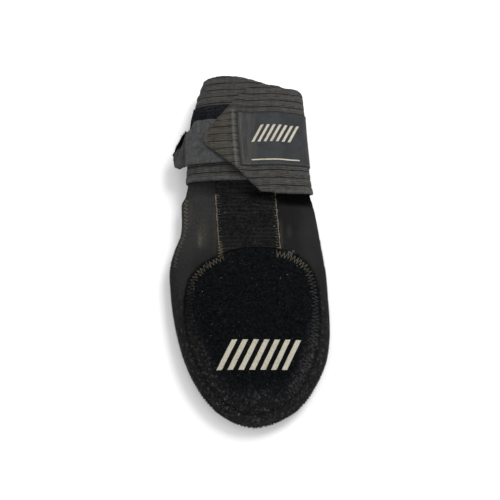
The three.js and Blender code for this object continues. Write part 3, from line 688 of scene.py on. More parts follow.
def ribbed_elastic():
    f = Finish("ribbed_elastic", roughness=0.88, sheen=0.03, sheen_roughness=0.5, specular=0.12)
    weave = f.attribute("weave")
    _, edge, tip = f.split(weave)
    warm, cool, olive = (0.043, 0.041, 0.0365), (0.037, 0.037, 0.0375), (0.053, 0.047, 0.032)
    colour = f.mix(f.span(f.noise(19, 4, 0.6), 0.38, 0.66), cool, warm)
    faded = f.times(tip, f.span(f.noise(6, 3), 0.3, 0.68, 0.25, 1.0))
    colour = f.mix(faded, colour, olive)
    streaks = f.noise(1, 3, 0.6, place=weave, stretch=(0.045, 0.42, 1), unit_is_mm=True)
    colour = f.mix(f.span(streaks, 0.6, 0.36, 0, 0.5), colour, (0.012, 0.0115, 0.0105))
    columns = f.noise(1, 3, 0.6, place=weave, stretch=(0.5, 0.035, 1), unit_is_mm=True)
    colour = f.mix(f.span(columns, 0.44, 0.7, 0, 0.32), colour, (0.075, 0.072, 0.066))
    threads = f.noise(0.8, 3, 0.6, place=weave, stretch=(0.13, 1.25, 1), unit_is_mm=True)
    colour = f.mix(f.span(threads, 0.46, 0.72, 0, 0.55), colour, (0.098, 0.094, 0.084))
    colour = f.mix(f.span(threads, 0.52, 0.3, 0, 0.5), colour, (0.014, 0.0135, 0.0125))
    cords = f.waves(RIB_PITCH / 4, "Y", place=weave, unit_is_mm=True, distortion=0.15)
    cord_shade = f.times(f.span(cords, 0.45, 0.0), f.span(f.noise(8, 3), 0.3, 0.7, 0.25, 0.75))
    colour = f.mix(cord_shade, colour, (0.011, 0.0105, 0.0095))
    rib = f.maths("FRACT", f.maths("DIVIDE", edge, RIB_PITCH))
    off = f.maths("ABSOLUTE", f.maths("SUBTRACT", rib, 0.5))
    depth = f.span(f.noise(1, 3, place=weave, stretch=(0.06, 0.3, 1), unit_is_mm=True), 0.35, 0.6, 0.65, 1.0)
    depth = f.times(depth, f.maths("MULTIPLY_ADD", tip, -0.35, 1.0))
    # Painted shade: the grooves between the ribs are darkened.
    groove = f.times(f.span(off, 0.38, 0.475), depth)
    colour = f.mix(groove, colour, (0.0055, 0.005, 0.0045))
    plain = f.span(edge, SELVEDGE + 0.4, SELVEDGE - 0.4)
    selvedge = f.mix(f.span(f.noise(2.5, 3), 0.35, 0.65), (0.034, 0.0345, 0.035), (0.062, 0.062, 0.062))
    colour = f.mix(f.times(plain, 0.8), colour, selvedge)
    ridge, nose, _ = f.split(f.attribute("ridge"))
    band = f.mix(f.span(f.noise(3.0, 4, 0.65), 0.36, 0.64), (0.036, 0.034, 0.031), (0.06, 0.056, 0.049))
    colour = f.mix(f.times(nose, 0.85), colour, band)
    # Painted highlight: the crest of the pulled fold along the label's end is lightened.
    f.colour(f.mix(f.times(f.span(ridge, 0.35, 1.0), 0.38), colour, (0.115, 0.11, 0.098)))
    f.bump(f.waves(1.1, "X", place=weave, unit_is_mm=True, distortion=0.3), 0.07)
    f.bump(cords, 0.12)
    f.bump(threads, 0.16)
    return f.material


def tab_rubber():
    """The tab's dull rubber: mottled and scuffed, with painted shade in its folds and where its loose end
    turns down.
    """
    f = Finish("tab_rubber", roughness=0.6, specular=0.16)
    cloud = f.noise(9, 5, 0.62)
    scuffs = f.noise(2.4, 4, 0.7, stretch=(1.0, 0.5, 1.0))
    colour = f.mix(f.span(cloud, 0.44, 0.64), (0.0395, 0.0385, 0.0375), (0.031, 0.035, 0.0385))
    colour = f.mix(f.span(f.noise(4.5, 4, 0.65), 0.52, 0.34, 0, 0.75), colour, (0.0165, 0.0165, 0.017))
    colour = f.mix(f.span(scuffs, 0.46, 0.7, 0, 0.6), colour, (0.085, 0.083, 0.081))
    turned_down_shade, crease_shade, _ = f.split(f.attribute("loose"))
    speckle = f.span(f.noise(1.4, 4, 0.7), 0.36, 0.6, 0.3, 0.8)
    # Painted shade where the loose end turns down, speckled.
    colour = f.mix(f.times(turned_down_shade, speckle), colour, (0.015, 0.015, 0.0155))
    # Painted shade in the folds, and painted shadow along the flap's edge.
    f.colour(f.mix(f.times(crease_shade, 0.75), colour, (0.01, 0.0098, 0.0098)))
    f.roughness(f.span(scuffs, 0.3, 0.8, 0.52, 0.74))
    f.bump(scuffs, 0.12)
    f.bump(f.noise(0.45, 3, 0.6), 0.03)
    return f.material


def label_rubber():
    """The label's rubber, with a band along its loose end that has stayed paler, and painted shade darkening
    it towards its edges.
    """
    f = Finish("label_rubber", roughness=0.6, specular=0.16)
    cloud = f.noise(13, 5, 0.62)
    columns = f.noise(3.2, 4, 0.65, stretch=(1.0, 0.16, 1.0))
    dark = f.mix(f.span(cloud, 0.36, 0.64), (0.0112, 0.0122, 0.0132), (0.0165, 0.0192, 0.0222))
    pale = f.mix(f.span(columns, 0.36, 0.64), (0.013, 0.0127, 0.0127), (0.0275, 0.0272, 0.0272))
    colour = f.mix(f.along(0, PALE_BAND_X + 1.2, PALE_BAND_X - 1.2), dark, pale)
    colour = f.mix(f.span(f.noise(1.1, 4, 0.7), 0.52, 0.76, 0, 0.4), colour, (0.05, 0.052, 0.052))
    # Painted shade: the label darkens towards its edges.
    rim = f.span(f.split(f.attribute("rim"))[0], 1.4, 0.6, 0, 0.85)
    f.colour(f.mix(rim, colour, (0.0055, 0.0052, 0.0052)))
    f.bump(columns, 0.08)
    f.bump(f.noise(0.5, 3, 0.6), 0.04)
    return f.material


def print_ink():
    f = Finish("print", roughness=0.75, specular=0.2)
    base, soiled, dark = (0.46, 0.44, 0.37), (0.31, 0.285, 0.22), (0.03, 0.029, 0.026)
    grain = f.noise(0.7, 5, 0.7)
    cracks = f.times(f.span(f.noise(0.9, 5, 0.8), 0.52, 0.64), f.span(f.noise(6, 3), 0.42, 0.58))
    colour = f.mix(f.span(grain, 0.35, 0.7), soiled, base)
    f.colour(f.mix(f.times(cracks, 0.75), colour, dark))
    f.bump(grain, 0.12)
    return f.material


def thread(name, near, far, y_near, y_far, greyer=None):
    """Thread whose colour goes from near to far over the length of the mitt, in its own millimetres."""
    f = Finish(name, roughness=0.85, sheen=0.02, specular=0.1)
    share = f.along(1, y_near, y_far)
    colour = f.mix(share, near, far)
    if greyer is not None:
        colour = f.mix(f.oval(*GREY_STRETCH, 0.3), colour, greyer)
    pale = f.mix(share, brighter(near, 2.2), brighter(far, 1.8))
    colour = f.mix(f.span(f.noise(2.2, 4, 0.65), 0.5, 0.72, 0, 0.75), colour, pale)
    f.colour(f.mix(f.span(f.noise(3.1, 4, 0.65), 0.52, 0.36, 0, 0.8), colour, brighter(near, 0.5)))
    f.bump(f.noise(0.3, 3), 0.05)
    return f.material


def plain_fibre(name, dark, light, size=5.0):
    f = Finish(name, roughness=0.95, specular=0.05)
    f.colour(f.mix(f.span(f.noise(size, 3), 0.42, 0.68), dark, light))
    return f.material


RIB_PITCH = STRAP_WIDTH / RIB_COUNT
SELVEDGE = 2.8  # the plain band along the elastic's lower edge
PALE_BAND_X = 5.5  # the label is paler from its loose end to this line
BLUISH = (-30, 258, 64, 44)  # the patch's tape has a bluish black
GREY_STRETCH = (54, 50, 50, 130)  # the lower right of the panel, where its zigzag is grey

NEOPRENE, LINING, BRUSHED, LOOP = neoprene(), lining(), brushed(), loop_tape()
ELASTIC = ribbed_elastic()
LABEL_RUBBER = label_rubber()
TAB_RUBBER = tab_rubber()
INK = print_ink()
ZIGZAG_COLOURS = (0.011, 0.0105, 0.0095), (0.108, 0.095, 0.064), 92, 137, (0.038, 0.038, 0.037)
ZIGZAG_THREAD = thread("zigzag_thread", *ZIGZAG_COLOURS)
EDGE_THREAD = thread("edge_thread", (0.1, 0.08, 0.057), (0.16, 0.148, 0.126), 134, 172)
TICK_THREAD = thread("tick_thread", (0.12, 0.094, 0.062), (0.088, 0.074, 0.054), 138, 190)
SIDE_THREAD = thread("side_thread", (0.075, 0.072, 0.066), (0.125, 0.112, 0.082), 150, 172)
PALE_THREAD = thread("pale_thread", (0.13, 0.12, 0.1), (0.16, 0.15, 0.125), 190, 280)
DARK_THREAD = thread("dark_thread", (0.034, 0.034, 0.0345), (0.018, 0.0178, 0.0175), 0, 110)
FLAP_THREAD = thread("flap_thread", (0.03, 0.027, 0.02), (0.036, 0.032, 0.024), 190, 280)
BLACK_FIBRE = plain_fibre("black_fibre", (0.0012, 0.0012, 0.0015), (0.0065, 0.0065, 0.007))
RIM_FIBRE = plain_fibre("rim_fibre", (0.0045, 0.0045, 0.0048), (0.034, 0.034, 0.034), 1.6)
TAPE_FIBRE = plain_fibre("tape_fibre", (0.0018, 0.0018, 0.002), (0.034, 0.034, 0.035), 1.8)
LINT = plain_fibre("lint", (0.16, 0.155, 0.14), (0.42, 0.41, 0.37))


# The pocket
POCKET_AROUND = 264
POCKET_LIP = 1.1  # how far the lip at the mouth rolls out
mouth_y = HAND_LENGTH + CUFF_LENGTH


def pocket_stations():
    near = 11 * (np.arange(1, 34) / 33) ** 2
    return np.concatenate([near, np.linspace(11, mouth_y, 215)[1:]])


def rim_bulge(y, degrees):
    """The rolled seam round the hand's edge stands a little proud."""
    off = np.minimum(np.abs(degrees - 4), np.minimum(np.abs(degrees - 364), np.abs(degrees - 176)))
    return 0.5 * np.exp(-((off / 7.0) ** 2)) * ease(y, 150, 110)


def pocket():
    degrees = np.arange(POCKET_AROUND) * 360 / POCKET_AROUND
    y = pocket_stations()[:, None]
    cut = section(pocket_rows, y)
    outer = section_point(cut, y, degrees[None], rim_bulge(y, degrees[None]), np.maximum(cut["under"], 0))
    facing = normals_of(outer, wrap=True)
    clear = ease(outer[..., 2], 0.4, 3.0)
    hollow = neck_hollow(outer)
    outer[..., 2] -= hollow
    grain = 0.05 * noise(outer, 1.1, 5) + 0.06 * noise(outer, 3.0, 6)
    folds = neck_folds(outer) * (facing[..., 2] > -0.2)
    outer = outer + facing * ((grain + folds) * clear)[..., None]
    lip_turn = np.radians(np.linspace(0, 180, 7))[1:-1]
    y_in = np.linspace(mouth_y, 0.058 * HAND_LENGTH, 60)
    rings = [outer]
    last = section(pocket_rows, np.array([[mouth_y]]))
    for turn in lip_turn:
        inward = SHELL_WALL * (1 - math.cos(turn)) / 2
        at = np.array([[mouth_y + POCKET_LIP * math.sin(turn)]])
        rings.append(section_point(last, at, degrees[None], -inward, last["under"] + inward))
    cut_in = section(pocket_rows, y_in[:, None])
    inner = section_point(cut_in, y_in[:, None], degrees[None], -SHELL_WALL, cut_in["under"] + SHELL_WALL)
    inner = inner - normals_of(inner, wrap=True) * (0.2 * noise(inner, 5, 8) - 0.1)[..., None]
    inner[..., 2] -= neck_hollow(inner, SHELL_WALL)
    rings.append(inner)
    stack = np.concatenate(rings)
    points, faces = skin(stack)
    points[-2] = [pocket_rows["left"][0], 0, pocket_rows["widest"][0]]
    lined = len(outer) + 2
    slots = np.zeros(len(faces), int)
    slots[lined * POCKET_AROUND : (len(stack) - 1) * POCKET_AROUND] = 1
    slots[-POCKET_AROUND:] = 1
    made = piece("mitt_pocket", points, faces, [NEOPRENE, LINING], "neoprene", "hand_pocket", slots=slots)


# The hollow that opens under the strap's lower edge: its middle, half its width and length, and its depth
HOLLOW = {"x": 37.0, "y": 187.5, "wide": 16.0, "long": 9.0, "depth": 7.0}


def neck_hollow(points, below=0.0):
    """How far the pocket's upper side sinks in the hollow. below is how far under it the points lie."""
    across = (points[..., 0] - HOLLOW["x"]) / HOLLOW["wide"]
    along = (points[..., 1] - HOLLOW["y"]) / HOLLOW["long"]
    deep = HOLLOW["depth"] * np.exp(-(across**4) - np.abs(along) ** 3)
    return deep * ease(points[..., 2] + below, 14, 19)


# Shallow folds in the bare neck: x and y of a place on each, its heading, length, width and height
FOLD_ROWS = [
    (-50, 166, 74, 26, 3.2, 0.7),
    (-44, 158, 62, 20, 2.6, -0.5),
    (-56, 140, 80, 30, 4.0, 0.5),
    (43, 171, -52, 24, 3.4, 0.6),
    (49, 158, -70, 26, 3.0, -0.45),
    (36, 178, -20, 18, 3.0, -0.6),
]


def neck_folds(points):
    total = np.zeros(points.shape[:-1])
    for x, y, heading, length, width, height in FOLD_ROWS:
        a = math.radians(heading)
        dx, dy = points[..., 0] - x, points[..., 1] - y
        run = dx * math.cos(a) + dy * math.sin(a)
        off = -dx * math.sin(a) + dy * math.cos(a)
        total += height * np.exp(-((run / length * 1.6) ** 2) - (off / width) ** 2)
    return total


# The striking panel
panel = table(PANEL_COLUMNS, PANEL_ROWS)
PANEL_TOP_Y = HAND_LENGTH - PANEL_NECK_MARGIN
PANEL_LENGTH = PANEL_TOP_Y - PANEL_TIP_MARGIN
PANEL_HALF = HAND_WIDTH / 2 - PANEL_SIDE_MARGIN


def panel_outline(count):
    """The panel's outline in plan, clockwise from the tip, with evenly spaced points."""
    corners = []
    for side, order in (("left", 1), ("right", -1)):
        spots = np.stack([panel[side] * PANEL_HALF, PANEL_TIP_MARGIN + panel["along"] * PANEL_LENGTH], axis=1)
        corners.append(spots[::order])
    loop = np.concatenate([corners[0], corners[1][:-1], corners[0][:1]])
    for _ in range(4):  # rounds the corners of the outline, and keeps it closed
        pairs = np.concatenate([loop[:-1], loop[:1]])
        a = pairs[:-1] * 0.75 + pairs[1:] * 0.25
        b = pairs[:-1] * 0.25 + pairs[1:] * 0.75
        loop = np.stack([a, b], axis=1).reshape(-1, 2)
        loop = np.concatenate([loop, loop[:1]])
    travel = np.concatenate([[0], np.cumsum(np.linalg.norm(np.diff(loop, axis=0), axis=1))])
    at = np.linspace(0, travel[-1], count, endpoint=False)
    return np.stack([np.interp(at, travel, loop[:, k]) for k in (0, 1)], axis=1), travel[-1]


PANEL_RIM, PANEL_GIRTH = panel_outline(720)
PANEL_CENTRE = np.array([3.0, 70.0])


def edge_distance(x, y):
    """How far plan points lie from the panel's outline."""
    spots = np.stack([np.ravel(x), np.ravel(y)], axis=1)
    found = np.empty(len(spots))
    for i in range(0, len(spots), 4000):
        part = spots[i : i + 4000, None] - PANEL_RIM[None]
        found[i : i + 4000] = np.sqrt((part**2).sum(-1).min(1))
    return found.reshape(np.shape(x))


PANEL_SEWN = {"edge": 1.3, "softer": 1.8, "thin": 1.15, "flat": 0.3, "sunk": 0.2, "from": 4.6, "to": 10.5}


def panel_thickness(distance, y):
    """Thin where the zigzag sews the edge down, thinnest at the finger end, and full further in."""
    far = ease(y, 55, 115)
    rounding = rounded(distance, PANEL_SEWN["edge"] * (1 + PANEL_SEWN["softer"] * (1 - far)))
    full = ease(distance, PANEL_SEWN["from"], PANEL_SEWN["to"])
    thin = PANEL_SEWN["flat"] + (PANEL_SEWN["thin"] - PANEL_SEWN["flat"]) * far
    return rounding * thin + full * (PANEL_THICKNESS - thin) - PANEL_SEWN["sunk"] * (1 - far) * (1 - full)


def on_panel(x, y, lift=0.0):
    return on_pocket(x, y, CLEARANCE + panel_thickness(edge_distance(x, y), y) + lift)


def striking_panel():
    spokes = (PANEL_RIM[::2] - PANEL_CENTRE)[None]
    near, far = np.linspace(0.02, 0.8, 96), np.linspace(0.8, 0.985, 40)[1:]
    shares = np.concatenate([near, far, [0.992, 0.997, 0.9995]])
    flat = PANEL_CENTRE + spokes * shares[:, None, None]
    top = on_panel(flat[..., 0], flat[..., 1])
    tufts = 0.1 * noise(top, 0.9, 21) + 0.13 * noise(top, 2.2, 22) + 0.12 * noise(top, 7, 23)
    inside = ease(edge_distance(flat[..., 0], flat[..., 1]), 0, 2)
    top[..., 2] += tufts * inside
    under_shares = np.linspace(0.03, 1.0, 7)
    flat_under = PANEL_CENTRE + spokes * under_shares[:, None, None]
    under = on_pocket(flat_under[..., 0], flat_under[..., 1], 0.12)
    points, faces = skin(np.concatenate([under, top[::-1]]))
    distance = edge_distance(points[:, 0], points[:, 1])
    rubbed = np.maximum(ease(distance, 14, 3) * ease(points[:, 1], 95, 50), ease(points[:, 1], 32, 12))
    marks = {"rubbed": marked(rubbed)}
    faces = facing_out(points, faces)
    made = piece("brushed_panel", points, faces, BRUSHED, "brushed_panel", "striking_panel", marks)


ZIGZAG = {"pitch": 3.1, "outer": 0.8, "inner": 6.8, "gap_from": -21.0, "gap_to": 20.0, "radius": 0.23}


def panel_zigzag():
    """Zigzag stitches round the panel's edge, apart from the middle of its top edge."""
    legs = int(PANEL_GIRTH / ZIGZAG["pitch"]) * 2
    spots, _ = panel_outline(legs)
    way = unit(np.roll(spots, -1, 0) - np.roll(spots, 1, 0))
    inward = np.stack([way[:, 1], -way[:, 0]], axis=1)
    rng = np.random.default_rng(31)
    depth = np.where(np.arange(legs) % 2, ZIGZAG["outer"], ZIGZAG["inner"]) + rng.uniform(-0.9, 0.9, legs)
    needle = spots + inward * depth[:, None] + way * rng.uniform(-0.5, 0.5, legs)[:, None]
    x, y = spots.T
    bare = (y > PANEL_TOP_Y - 9) & (x > ZIGZAG["gap_from"]) & (x < ZIGZAG["gap_to"])
    after = np.roll(needle, -1, 0)
    kept = ~bare & ~np.roll(bare, -1)
    a, b = needle[kept], after[kept]
    starts, ends = on_panel(a[:, 0], a[:, 1], 0.12), on_panel(b[:, 0], b[:, 1], 0.12)
    up = upward(len(a))
    stitches("panel_zigzag", starts, ends, up, ZIGZAG["radius"], 0.32, ZIGZAG_THREAD, "brushed_panel")


def fuzz_on(name, sample, count, seed, length, width, material, slot_name):
    """Short fibres that stand and lie on a surface. sample(rng, n) gives root points and normals."""
    rng = np.random.default_rng(seed)
    roots, facing = sample(rng, count)
    reach = rng.uniform(0.5, 1.0, (count, 1)) * length
    lean = rng.normal(0, 1, (count, 3))
    lean -= facing * (lean * facing).sum(-1, keepdims=True)
    standing = facing * rng.uniform(0.25, 0.9, (count, 1))
    ways = unit(standing + unit(lean) * rng.uniform(0.4, 1.0, (count, 1))) * reach
    bends = unit(lean + rng.normal(0, 0.6, (count, 3))) * reach * 0.35
    fibres(name, roots - facing * 0.05, ways, bends, width, material, slot_name)


def panel_spots(rng, count):
    rim = PANEL_RIM[rng.integers(0, len(PANEL_RIM), count)]
    flat = PANEL_CENTRE + (rim - PANEL_CENTRE) * np.sqrt(rng.uniform(0, 0.97, count))[:, None]
    return on_panel(flat[:, 0], flat[:, 1]), upward(count)


def panel_rim_spots(rng, count):
    at = rng.integers(0, len(PANEL_RIM), count)
    rim = PANEL_RIM[at] + rng.normal(0, 0.5, (count, 2))
    out = np.concatenate([unit(rim - PANEL_CENTRE), np.full((count, 1), 0.35)], axis=1)
    return on_pocket(rim[:, 0], rim[:, 1], 0.5), unit(out)


def pocket_rim_spots(rng, count):
    y = rng.uniform(0, 1, count) ** 1.6 * 150
    right = rng.choice([0.0, 180.0], count)
    degrees = right + rng.normal(0, 14, count)
    cut = section(pocket_rows, y)
    inside = section_point(cut, y, degrees, 0.2, 0.5)
    return inside, unit(section_point(cut, y, degrees, 1.2, 0.5) - inside + [0, -0.3, 0.05])


# The strip of loop tape
def strip_centre(y):
    return STRIP_CENTRE_X - STRIP_LEAN * (y - PANEL_TOP_Y)


def panel_top_at(x):
    """The y of the panel's upper edge over an x."""
    upper = PANEL_RIM[PANEL_RIM[:, 1] > PANEL_TOP_Y - 30]
    order = np.argsort(upper[:, 0])
    return np.interp(x, upper[order, 0], upper[order, 1])


def strip_grid(lift, rows=110, columns=90, inset=0.0):
    share = np.linspace(0, 1, rows)[:, None]
    side = np.linspace(-1, 1, columns)[None] * (STRIP_WIDTH / 2 - inset)
    low = panel_top_at(side + strip_centre(PANEL_TOP_Y)) + CLEARANCE
    y = low + (HAND_LENGTH + STRIP_TUCK - low) * share
    return on_pocket(side + strip_centre(y), y, lift), side, y


def loop_strip():
    base, side, y = strip_grid(CLEARANCE)
    rounding = rounded(STRIP_WIDTH / 2 - np.abs(side), 1.2)
    rows_wave = 0.14 * np.sin(2 * np.pi * y / 1.7 + 0.8 * noise(base, 5, 41))
    tufts = 0.14 * noise(base, 1.0, 42) + 0.1 * noise(base, 3.0, 43)
    height = 0.35 + (STRIP_THICKNESS - 0.35) * rounding + (rows_wave + tufts) * rounding
    high = on_pocket(side + strip_centre(y), y, CLEARANCE + height)
    low = on_pocket(side + strip_centre(y), y, 0.12)
    points, faces = slab(low, high)
    piece("tape_strip", points, facing_out(points, faces), LOOP, "loop_tape", "loop_strip")


def strip_spots(rng, count):
    y = rng.uniform(PANEL_TOP_Y + 1, HAND_LENGTH, count)
    x = strip_centre(y) + rng.uniform(-0.5, 0.5, count) * (STRIP_WIDTH - 1)
    return on_pocket(x, y, CLEARANCE + STRIP_THICKNESS), upward(count)


def strip_stitches():
    for name, side in (("strip_stitch_left", -1), ("strip_stitch_right", 1)):
        low = panel_top_at(side * STRIP_WIDTH / 2) + 1
        y = np.arange(low, HAND_LENGTH + 2, 2.4)
        rng = np.random.default_rng(51 + side)
        x = strip_centre(y) + side * (STRIP_WIDTH / 2 - 0.2) + rng.uniform(-0.4, 0.4, len(y))
        reach = rng.uniform(1.6, 3.4, len(y))
        start_y = y + rng.uniform(-0.3, 0.3, len(y))
        starts = on_pocket(x - side * reach, start_y, CLEARANCE + STRIP_THICKNESS + 0.15)
        ends = on_pocket(x + side * rng.uniform(0.6, 1.5, len(y)), y + 0.4, CLEARANCE + 0.45)
        up = np.tile([side * 0.3, 0.0, 0.95], (len(y), 1))
        stitches(name, starts, ends, up, 0.37, 0.45, TICK_THREAD, "loop_tape")
        a = on_pocket(x[:-1] + side * 0.5, y[:-1], CLEARANCE + 0.75)
        b = on_pocket(x[1:] + side * 0.5, y[1:], CLEARANCE + 0.75)
        stitches(name.replace("stitch", "cord"), a, b, up[1:], 0.5, 0.15, EDGE_THREAD, "loop_tape")


# The strap
LABEL_TALL = LABEL_WIDTH + 1.8  # the stretched label is a little taller than its solid
LABEL_END = LABEL_TO + 2.6  # and a little longer
NEXT_TURN = STRAP_START + 360
ON_STRAP = STRAP_THICKNESS + CLEARANCE
ON_ELASTIC = STRAP_THICKNESS + 0.05  # the label is sewn down flat
ON_PATCH = PATCH_THICKNESS + CLEARANCE
ON_TAB = HOOK_THICKNESS + TAB_THICKNESS + 2 * CLEARANCE
STACK_TO = PATCH_FROM + 361


def strap_lift(degrees):
    turn = ease(degrees, NEXT_TURN - TURN_RAMP, NEXT_TURN - 2) * SEAT
    over_tab = ease(degrees, TAB_START + 351, TAB_START + 360.5) * ON_TAB
    return CLEARANCE + turn + ease(degrees, STACK_TO - 9, STACK_TO - 1.5) * ON_PATCH + over_tab


# How far the pull of the closed flap shifts the ribs of the outer turn towards the wrist, by the angle
SHIFT_COLUMNS = "angle shift"
SHIFT_ROWS = [(330, 0.0), (358, 0.8), (384, 1.5), (402, 1.2), (430, -0.8), (456, -3.2), (500, -3.2)]
shifts = table(SHIFT_COLUMNS, SHIFT_ROWS)


def level_lower_y(degrees):
    angle = np.radians(degrees)
    drift = STRAP_DRIFT * (degrees - STRAP_START) / 360
    return HAND_LENGTH + STRAP_SETBACK - drift - STRAP_LEAN * np.sin(angle) - STRAP_SKEW * np.cos(angle)


FLAP_LOWER_Y = level_lower_y(STACK_TO)
FLAP_MIDDLE_Y = FLAP_LOWER_Y + STRAP_WIDTH / 2 - FLAP_TIP_DROP
FLAP_BLUNT = FLAP_TIP_WIDTH / 2


def strap_lower_y(degrees):
    within = np.clip(degrees, shifts["angle"][0], shifts["angle"][-1])
    return level_lower_y(degrees) + smooth(within, shifts["angle"], shifts["shift"])


RIDGE = {"angle": 461.4, "half": 1.7, "height": 0.9, "from": 16.0, "to": 82.0}
END_SLANT = 3.4  # how many degrees further the label's end reaches at its top than at its bottom


def label_end(edge):
    return LABEL_END - END_SLANT * np.clip(1 - (edge - LABEL_EDGE) / LABEL_TALL, -0.2, 1.4)


def ridge_share(degrees, edge):
    """The pulled fold of elastic along the label's sewn end."""
    off = (degrees - label_end(edge) - (RIDGE["angle"] - LABEL_END)) / RIDGE["half"]
    ends = ease(edge, RIDGE["from"], RIDGE["from"] + 10) * (1 - ease(edge, RIDGE["to"] - 10, RIDGE["to"]))
    return np.exp(-(off**2)) * ends


def wrinkle(degrees, edge):
    """How far the strap stands off its seat in soft waves, where nothing lies on or over it."""
    spot = np.stack(np.broadcast_arrays(degrees * 0.8, edge * 0.7, 0.0 * edge), axis=-1)
    outer = ease(degrees, 352, 372) * (0.5 + 0.5 * noise(spot, 13, 45)) * 0.6
    near_mouth = ease(edge, 70, 80) * ease(degrees, 108, 122) * (1 - ease(degrees, 186, 205))
    folds = 0.5 + 0.5 * np.sin(edge * 0.75 + degrees * 0.05 + 1.2 * noise(spot, 16, 46))
    waves = near_mouth * (0.7 * folds + 0.5 * (0.5 + 0.5 * noise(spot, 11, 47)))
    return outer + waves + RIDGE["height"] * ridge_share(degrees, edge)


def strap_point(degrees, edge, height):
    """Points on the winding strap, at a distance from its lower edge and a height over its inner face."""
    y = strap_lower_y(degrees) + edge
    floor = np.maximum(STRAP_THICKNESS - height, 0)
    lift = strap_lift(degrees) + height + wrinkle(degrees, edge)
    return section_point(section(seat_rows, y), y, degrees, lift, floor)


# Where the strap's edges give way: the angle, its spread, and how far the lower and the upper edge draw in
EDGE_PULLS = [(360.0, 21.0, 0.0, 4.8), (128.0, 26.0, 0.0, -1.6), (352.0, 9.0, 1.2, 0.0)]
FLAP_RISE = 1.5  # how far the flap's upper corner reaches past the strap's upper edge
FLAP_RISE_FROM = 410.0

# How much is cut off the upper edge of the strap's hidden start, by the angle
CUT_COLUMNS = "angle cut"
CUT_ROWS = [(70, 8.3), (76, 6.6), (82, 5.2), (90, 3.0), (100, 0.6), (108, 0.0)]
start_cut = table(CUT_COLUMNS, CUT_ROWS)


def flap_edges(degrees):
    """Where the strap's lower and upper cut edges lie, as distances from its lower edge."""
    low = np.zeros_like(degrees)
    until = np.minimum(degrees, start_cut["angle"][-1])
    high = STRAP_WIDTH - smooth(until, start_cut["angle"], start_cut["cut"])
    meets = level_lower_y(NEXT_TURN) + FLAP_RISE - strap_lower_y(NEXT_TURN)
    high = high + meets * ease(degrees, FLAP_RISE_FROM, NEXT_TURN)
    nose = FLAP_TIP_X + FLAP_BLUNT / 3
    low_x = [nose, FLAP_TIP_X + FLAP_TAPER_LOWER]
    low_y = [FLAP_MIDDLE_Y - FLAP_BLUNT, FLAP_LOWER_Y]
    shoulder, top = FLAP_TIP_X + FLAP_TAPER_UPPER, FLAP_LOWER_Y + STRAP_WIDTH
    high_x = [nose, shoulder, shoulder + 6, shoulder + FLAP_TIP_WIDTH]
    high_y = [FLAP_MIDDLE_Y + FLAP_BLUNT, top - 3.4, top + 0.4, top + FLAP_RISE]
    on_flap = degrees > NEXT_TURN
    top_y = level_lower_y(degrees) + STRAP_WIDTH + FLAP_RISE
    for _ in range(6):
        x_low = strap_point(degrees, low, STRAP_THICKNESS)[..., 0]
        x_high = strap_point(degrees, high, STRAP_THICKNESS)[..., 0]
        nearing = np.clip((nose - np.minimum(x_low, x_high)) / (nose - FLAP_TIP_X), 0, 1)
        shut = FLAP_BLUNT * (1 - np.sqrt(1 - nearing))
        y_low = np.interp(x_low, low_x, low_y) + shut
        y_high = np.interp(x_high, high_x, high_y) - shut
        low = np.where(on_flap, np.maximum(y_low - strap_lower_y(degrees), 0), low)
        high = np.where(on_flap, np.minimum(y_high, top_y) - strap_lower_y(degrees), high)
    for at, width, pull_low, pull_high in EDGE_PULLS:
        share = np.exp(-(((degrees - at) / width) ** 2))
        low, high = low + pull_low * share, high - pull_high * share
    return low, np.maximum(high, low + 0.2)


def last_flap_angle():
    """The angle at which the flap's tip is reached."""
    degrees = np.linspace(480, STRAP_END, 400)
    x = strap_point(degrees, STRAP_WIDTH / 2 + 3, STRAP_THICKNESS)[..., 0]
    return float(np.interp(-FLAP_TIP_X, -x, degrees))


FLAP_LAST = last_flap_angle()


def rib_height(edge, near_tip):
    off = np.abs((edge / RIB_PITCH) % 1 - 0.5)
    ribbed = ease(edge, SELVEDGE - 0.5, SELVEDGE + 0.5)
    groove = RIB_DEPTH * ease(off, 0.4, 0.5) * (1 - 0.4 * near_tip) * ribbed
    crown = 0.12 * np.cos(2 * np.pi * edge / RIB_PITCH)
    cords = 0.1 * np.cos(2 * np.pi * edge / (RIB_PITCH / 4))
    fine = 0.16 * np.cos(2 * np.pi * edge / (RIB_PITCH / 3)) * near_tip
    return STRAP_THICKNESS - groove - crown - cords * (1 - near_tip) - fine - 0.1


def tip_share(degrees):
    """How near a place is to the flap's pointed tip, where the elastic is finer and faded."""
    return ease(degrees, 452, 468)


STRAP_OUTER, STRAP_INNER = 170, 28
WEAVE_RADIUS = 47.0  # the elastic's weave is measured along the cuff at this radius
NOSE_BAND = 2.6, 4.2  # the flap's blunt nose is plain up to the one distance and ribbed from the other


